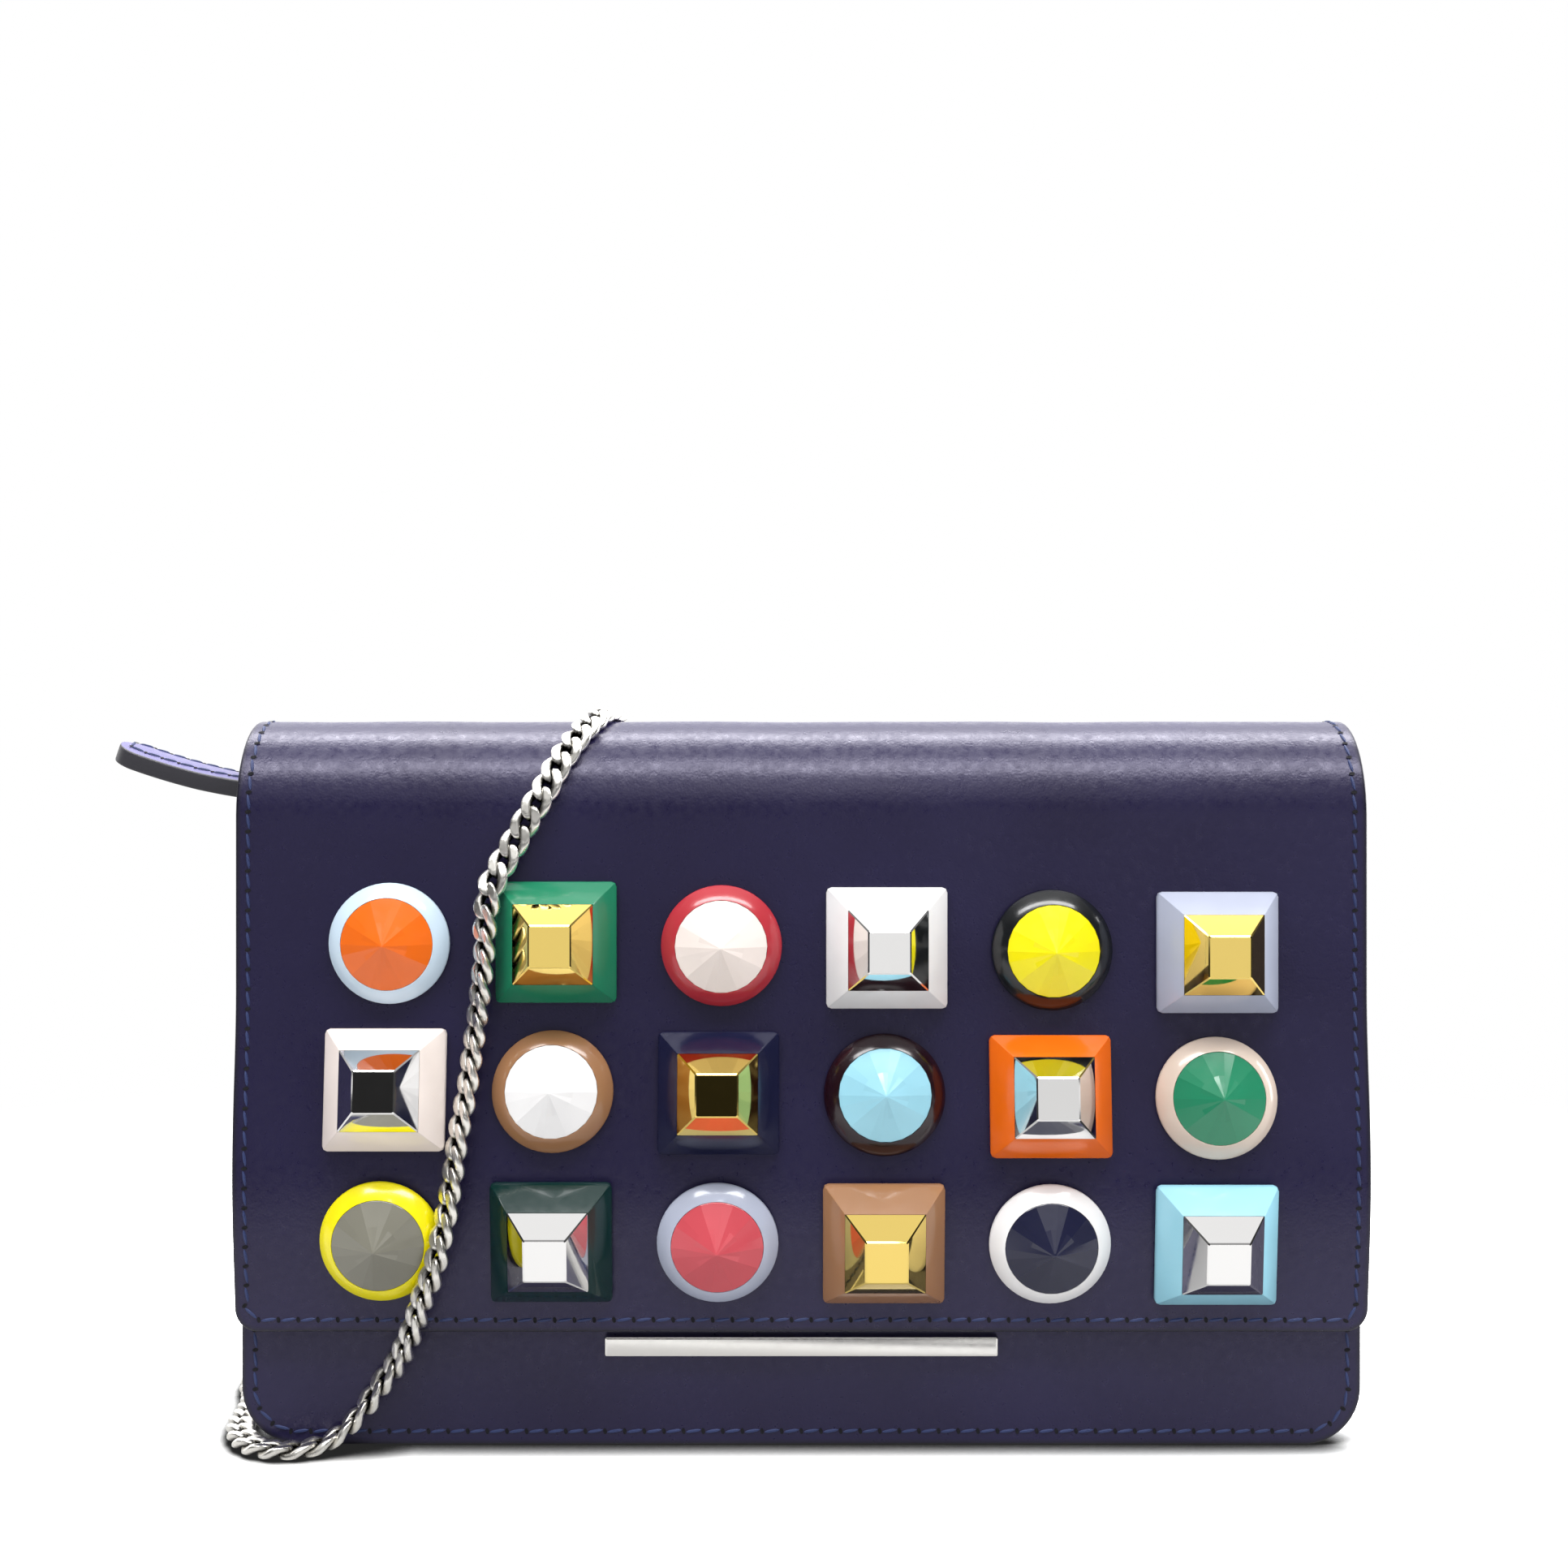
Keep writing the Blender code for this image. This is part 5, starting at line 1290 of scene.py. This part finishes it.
def pull_section():
    """Template round the strap: u (-1 to 1 across), a fillet's unit offset, the face it hangs on,
    and which edges of the template lie on a broad face."""
    turn = np.radians(np.linspace(0, 90, FILLET_STEPS))
    across = np.linspace(1, -1, ACROSS)
    half = [(u, 0, 1, 1) for u in across] + [(-1, -np.sin(a), np.cos(a), 1) for a in turn[1:]]
    half += [(-1, -np.cos(a), -np.sin(a), -1) for a in turn[:-1]]
    spots = np.array(half)
    spots = np.vstack([spots, -spots])
    broad = np.arange(len(spots)) % len(half) < ACROSS - 1
    return spots.T, broad


def pull_shape():
    """Sections with 0.4 mm fillets carried along the curl. The upper face is crowned by c (1 - u^2)
    over a padding, and the last sections close the tip."""
    tip = PULL_LENGTH - PULL_HALF * (1 - np.sin(np.linspace(0.0, np.pi / 2, 22)))
    along = np.concatenate([np.linspace(1.3 * MM, 36 * MM, 50), tip])
    along = np.unique(np.clip(along, 0, PULL_LENGTH - 0.02 * MM))
    middle, wide, lift = pull_frames(along)
    half = pull_half(along)[:, None]
    fillet = np.minimum(PULL_FILLET, half * 0.9)
    (u, over, up, hang), broad = pull_section()
    x = u * (half - fillet) + over * fillet
    z = hang * (PULL_THICK / 2 - fillet) + up * fillet
    z = z + CROWN * (half / PULL_HALF) * (1 - u**2) * (hang > 0)
    across, upward = wide[:, None] * x[..., None], lift[:, None] * z[..., None]
    points, faces = capped(middle[:, None] + across + upward)
    index = np.ones(len(faces), int)
    index[: (len(along) - 1) * len(u)] = np.tile(np.where(broad, 0, 1), len(along) - 1)
    return points, faces, index


def eye_shape():
    """The loop round the pin: a short tube along Y."""
    profile = [(BORE_R, -EYE_HALF), (EYE_R - EYE_BEVEL, -EYE_HALF), (EYE_R, -EYE_HALF + EYE_BEVEL),
               (EYE_R, EYE_HALF - EYE_BEVEL), (EYE_R - EYE_BEVEL, EYE_HALF), (BORE_R, EYE_HALF)]
    return closed(revolved(profile, 28)[..., [0, 2, 1]] + PIN)


# painted sheen: the pull's calf is a lighter lavender navy than the wallet's, for the bright room
# its faces reflect
PULL_CALF_PAINTED_SHEEN = calfskin("navy calfskin, pull, burnished top", "#5f5b88", "#696592", roughness=0.36,
                     grain=0.02)
# painted light: the pull's edge paint is a lighter grey copy of the near-black edge paint
PULL_EDGE_LIGHTENED = plain("edge paint, pull, worn grey", "#36353b", 0.45, grain=0.3 * MM)
points, faces, index = pull_shape()
pull = build("pull_strap", points, faces, [PULL_CALF_PAINTED_SHEEN, PULL_EDGE_LIGHTENED], index, smooth=55)
assign(pull, "pull", "calfskin", "zip_pull")
assign(build("pull_eye", *eye_shape(), [EDGE_PAINT], smooth=40), "pull", "calfskin")

# %% [markdown]
# ## Thread of the pull
# The row runs 2 mm inside the strap's edge, so its line is two straights and a half circle at the
# tip, lifted onto the crowned face.

# %% Pull stitches
row_half = PULL_HALF - 2.0 * MM
straight = np.linspace(9 * MM, PULL_LENGTH - PULL_HALF, 90)
along, off = np.vstack([vectors(straight, -row_half), arc(row_half, -90, 90, 60, (straight[-1], 0)),
                        vectors(straight[::-1], row_half)]).T
middle, wide, lift = pull_frames(along)
rise = PULL_THICK / 2 + CROWN * (1 - (off / PULL_HALF) ** 2) * pull_half(along) / PULL_HALF
seam_line = middle + wide * off[:, None] + lift * rise[:, None]
thread = stitches("pull_stitches", seam_line, np.gradient(seam_line, axis=0), lift, pitch=3.05 * MM)
assign(thread, "pull")

# %% [markdown]
# ## Rings and tabs
# A folded calf tab on each side holds a D-ring of 1.8 mm wire, bent and soldered. The ring is a
# tube round a closed line. The tab is one outline, round the ring's bar and back up, drawn out
# along Y, and its end loops draw in a little so that the cut edges are round.

# %% Rings and tabs
RING_HALF, RING_REACH, RING_WIRE, RING_CORNER = 5.6 * MM, 8.8 * MM, 1.8 * MM, 1.1 * MM
TAB_THICK, TAB_ROUND = 1.6 * MM, 0.2 * MM
RING_BRIGHT = polished_steel("nickel plated wire, polished", roughness=0.09)


def closed_tube(path, radius, around=14):
    """A round bar along a closed line in a plane of constant x."""
    side = np.broadcast_to([1.0, 0, 0], path.shape)[:, None]
    up = np.cross(unit(np.roll(path, -1, 0) - np.roll(path, 1, 0))[:, None], side)
    c, s = (v[None, :, None] for v in circle(around))
    return closed(path[:, None] + radius * (c * side + s * up))


def ring_path(at):
    """A D: a straight bar along Y with small round corners, and a half circle below it."""
    bow = arc(RING_HALF, 0, -180, 30, (0, RING_HALF - RING_REACH))
    left = arc(RING_CORNER, 180, 90, 7, (RING_CORNER - RING_HALF, -RING_CORNER))
    return vectors(0, *np.vstack([bow, left, left[::-1] * (-1, 1)]).T) + at


def tab_shape(box, at, side):
    """A strip folded round the ring's bar: an (x, z) outline down the gusset's face, round the bar
    and back up, in four loops from end to end."""
    (x0, y0, z0), (x1, y1, z1) = box
    wall = x1 if side < 0 else x0
    outer, reach = wall + side * TAB_THICK, at[2] - z0
    loop = arc(reach, 20, -200, 26) * (-side, 1) + (at[0], at[2])
    loop = loop[(loop[:, 0] - wall) * side > -1.0e-6]
    section = np.vstack([(wall, z1), loop, (outer, z1 - 0.1 * MM), (outer - side * 0.3 * MM, z1)])
    outward = unit(section - section.mean(0))
    depths = ((y0, TAB_ROUND), (y0 + TAB_ROUND, 0), (y1 - TAB_ROUND, 0), (y1, TAB_ROUND))
    loops = [np.insert(section - outward * inset, 1, y, axis=1) for y, inset in depths]
    return capped(np.array(loops))


eyes = {name: np.array(joints[f"ring_{name}_swing"]["pos_m"]) for name in ("left", "right")}
for name, at in eyes.items():
    wire = closed_tube(ring_path(at), RING_WIRE / 2)
    assign(build(f"d_ring_{name}", *wire, [RING_BRIGHT], smooth=80),
           f"{name}_ring", "silver_metal", f"ring_{name}")
for name, at in eyes.items():
    fold = tab_shape(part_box(f"ring_tab_{name}"), at, np.sign(at[0]))
    assign(build(f"ring_tab_{name}_calf", *fold, [SOFT_CALF], smooth=45),
           "wallet_body", "calfskin", f"ring_tab_{name}")

# %% [markdown]
# ## Zip
# The pocket between the two compartments closes with a metal zip. Its tape is a woven twill, about
# 0.4 mm to a rib, which slanted waves draw. The teeth are brass stampings, nickel plated, in two
# rows that mesh half a pitch apart, at 1.5 mm to a tooth.


# %% Zip cloth
def zip_cloth():
    """Twill: slanted waves across the tape, and a fuzz of fibres that dulls it unevenly."""
    material, add, place = new_material("woven polyester zip tape")
    ribs = add("TexWave", {"wave_type": "BANDS", "bands_direction": "DIAGONAL"}, Vector=place,
               Scale=1 / (2.4 * MM), Distortion=0.3).outputs["Fac"]
    fuzz = add("TexNoise", Vector=place, Scale=1 / (0.2 * MM))
    tone = add("ValToRGB", stops=[(0.2, "#181a30"), (0.8, "#262945")], Fac=ribs)
    relief = add("Bump", Height=ribs, Strength=0.5, Distance=0.06 * MM)
    rough = add("MapRange", Value=fuzz, To_Min=0.75, To_Max=0.95)
    add("OutputMaterial", Surface=add(
        "BsdfPrincipled", Base_Color=tone, Roughness=rough, Normal=relief, Sheen_Weight=0.2))
    return material


TAPE_CLOTH = zip_cloth()
ZIP_METAL = plain("nickel plated brass, stamped", "#c9c8c4", 0.22, **PLATE)

# %% [markdown]
# ## Teeth
# One stamped tooth is a small rounded box, full at its foot and drawn in at its head. All teeth
# are copies of it in one mesh.


# %% Teeth
def tooth_loops(width, length, height, corner=0.2 * MM):
    """Three loops of a box with cut corners, counted from its near left."""
    loops = []
    for z, inset in ((0.0, 0.0), (height * 0.7, 0.0), (height, 0.22 * MM)):
        x, y = width / 2 - inset, length / 2 - inset
        near = [(-x + corner, -y, z), (x - corner, -y, z), (x, -y + corner, z), (x, y - corner, z)]
        loops.append(near + [(-a, -b, z) for a, b, _ in near])
    return np.array(loops)


def teeth_shape(box, pitch=1.5 * MM):
    """Two rows of teeth from end to end; the second row is half a pitch on."""
    (x0, y0, z0), (x1, y1, z1) = box
    count = int((x1 - x0) / pitch) - 1
    loops = tooth_loops(pitch * 0.44, (y1 - y0) * 0.60, z1 - z0)
    x = x0 + (np.arange(count) + 0.75) * pitch
    inset = (y1 - y0) * 0.30
    spots = np.vstack([vectors(x + shift, y, z0)
                       for shift, y in ((0, y0 + inset), (pitch / 2, y1 - inset))])
    parts = (grid_faces(3, 8, wrap_columns=True), [range(16, 24)], [range(7, -1, -1)])
    faces = sum((copied_faces(part, len(spots), 24) for part in parts), [])
    return (spots[:, None, None] + loops[None]).reshape(-1, 3), faces


teeth = build("zip_teeth_metal", *teeth_shape(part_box("zip_teeth")), [ZIP_METAL], smooth=30)
assign(teeth, "wallet_body", "silver_metal", "zip_teeth")

# %% [markdown]
# ## Snap disc
# A magnetic snap holds the flap. Its socket is a turned disc on the front panel, which stands a
# little proud of the leather: a rim, a shallow dish and a low boss.


# %% Snap disc on the front panel
def snap_disc(box, proud=0.12 * MM):
    """A (radius, height) profile turned about the disc's axis and laid to face the flap."""
    (x0, y0, z0), (x1, y1, z1) = box
    radius, thick = (x1 - x0) / 2, y1 - y0 + proud
    dish = thick - 0.1 * MM
    profile = [(radius, 0), (radius, thick - 0.2 * MM), (radius - 0.2 * MM, thick),
               (radius - 0.9 * MM, thick), (radius - 1.1 * MM, dish), (2.2 * MM, dish),
               (2.0 * MM, thick), (0.4 * MM, thick)]
    x, y, height = np.moveaxis(revolved(profile, 48), -1, 0)
    return capped(vectors((x0 + x1) / 2 + x, y1 - height, (z0 + z1) / 2 + y))


SNAP_METAL = plain("nickel plated snap disc, satin", "#c4c3c0", 0.3, grain=0.3 * MM, bump=0.05,
                   metallic=1.0)
socket = build("snap_socket", *snap_disc(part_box("magnet_socket")), [SNAP_METAL], smooth=30)
assign(socket, "wallet_body", "silver_metal", "magnet_socket")

# %% [markdown]
# ## Finishes for the solids that stay
# The pocket walls, card slots, tape, slider, snap and tie keep their solids, because those shapes
# are right as they are. Each gets the finish of its own material.

# %% Finishes by node
KEPT = {
    "zip_pocket_front": LINING, "zip_pocket_back": LINING, "card_pocket": LINING,
    "zip_tape": TAPE_CLOTH, "magnet_stud": SNAP_METAL,
    "zip_slider": plain("nickel plated zinc, die cast", "#d4d3d0", 0.16, **PLATE),
    "chain_tie": calfskin("navy calf lace, tie", *NAVY),
}
for name, finish in KEPT.items():
    for slot in frame["nodes"][name].material_slots:
        slot.material = finish
print("finishes given to", len(KEPT), "solids that stay")
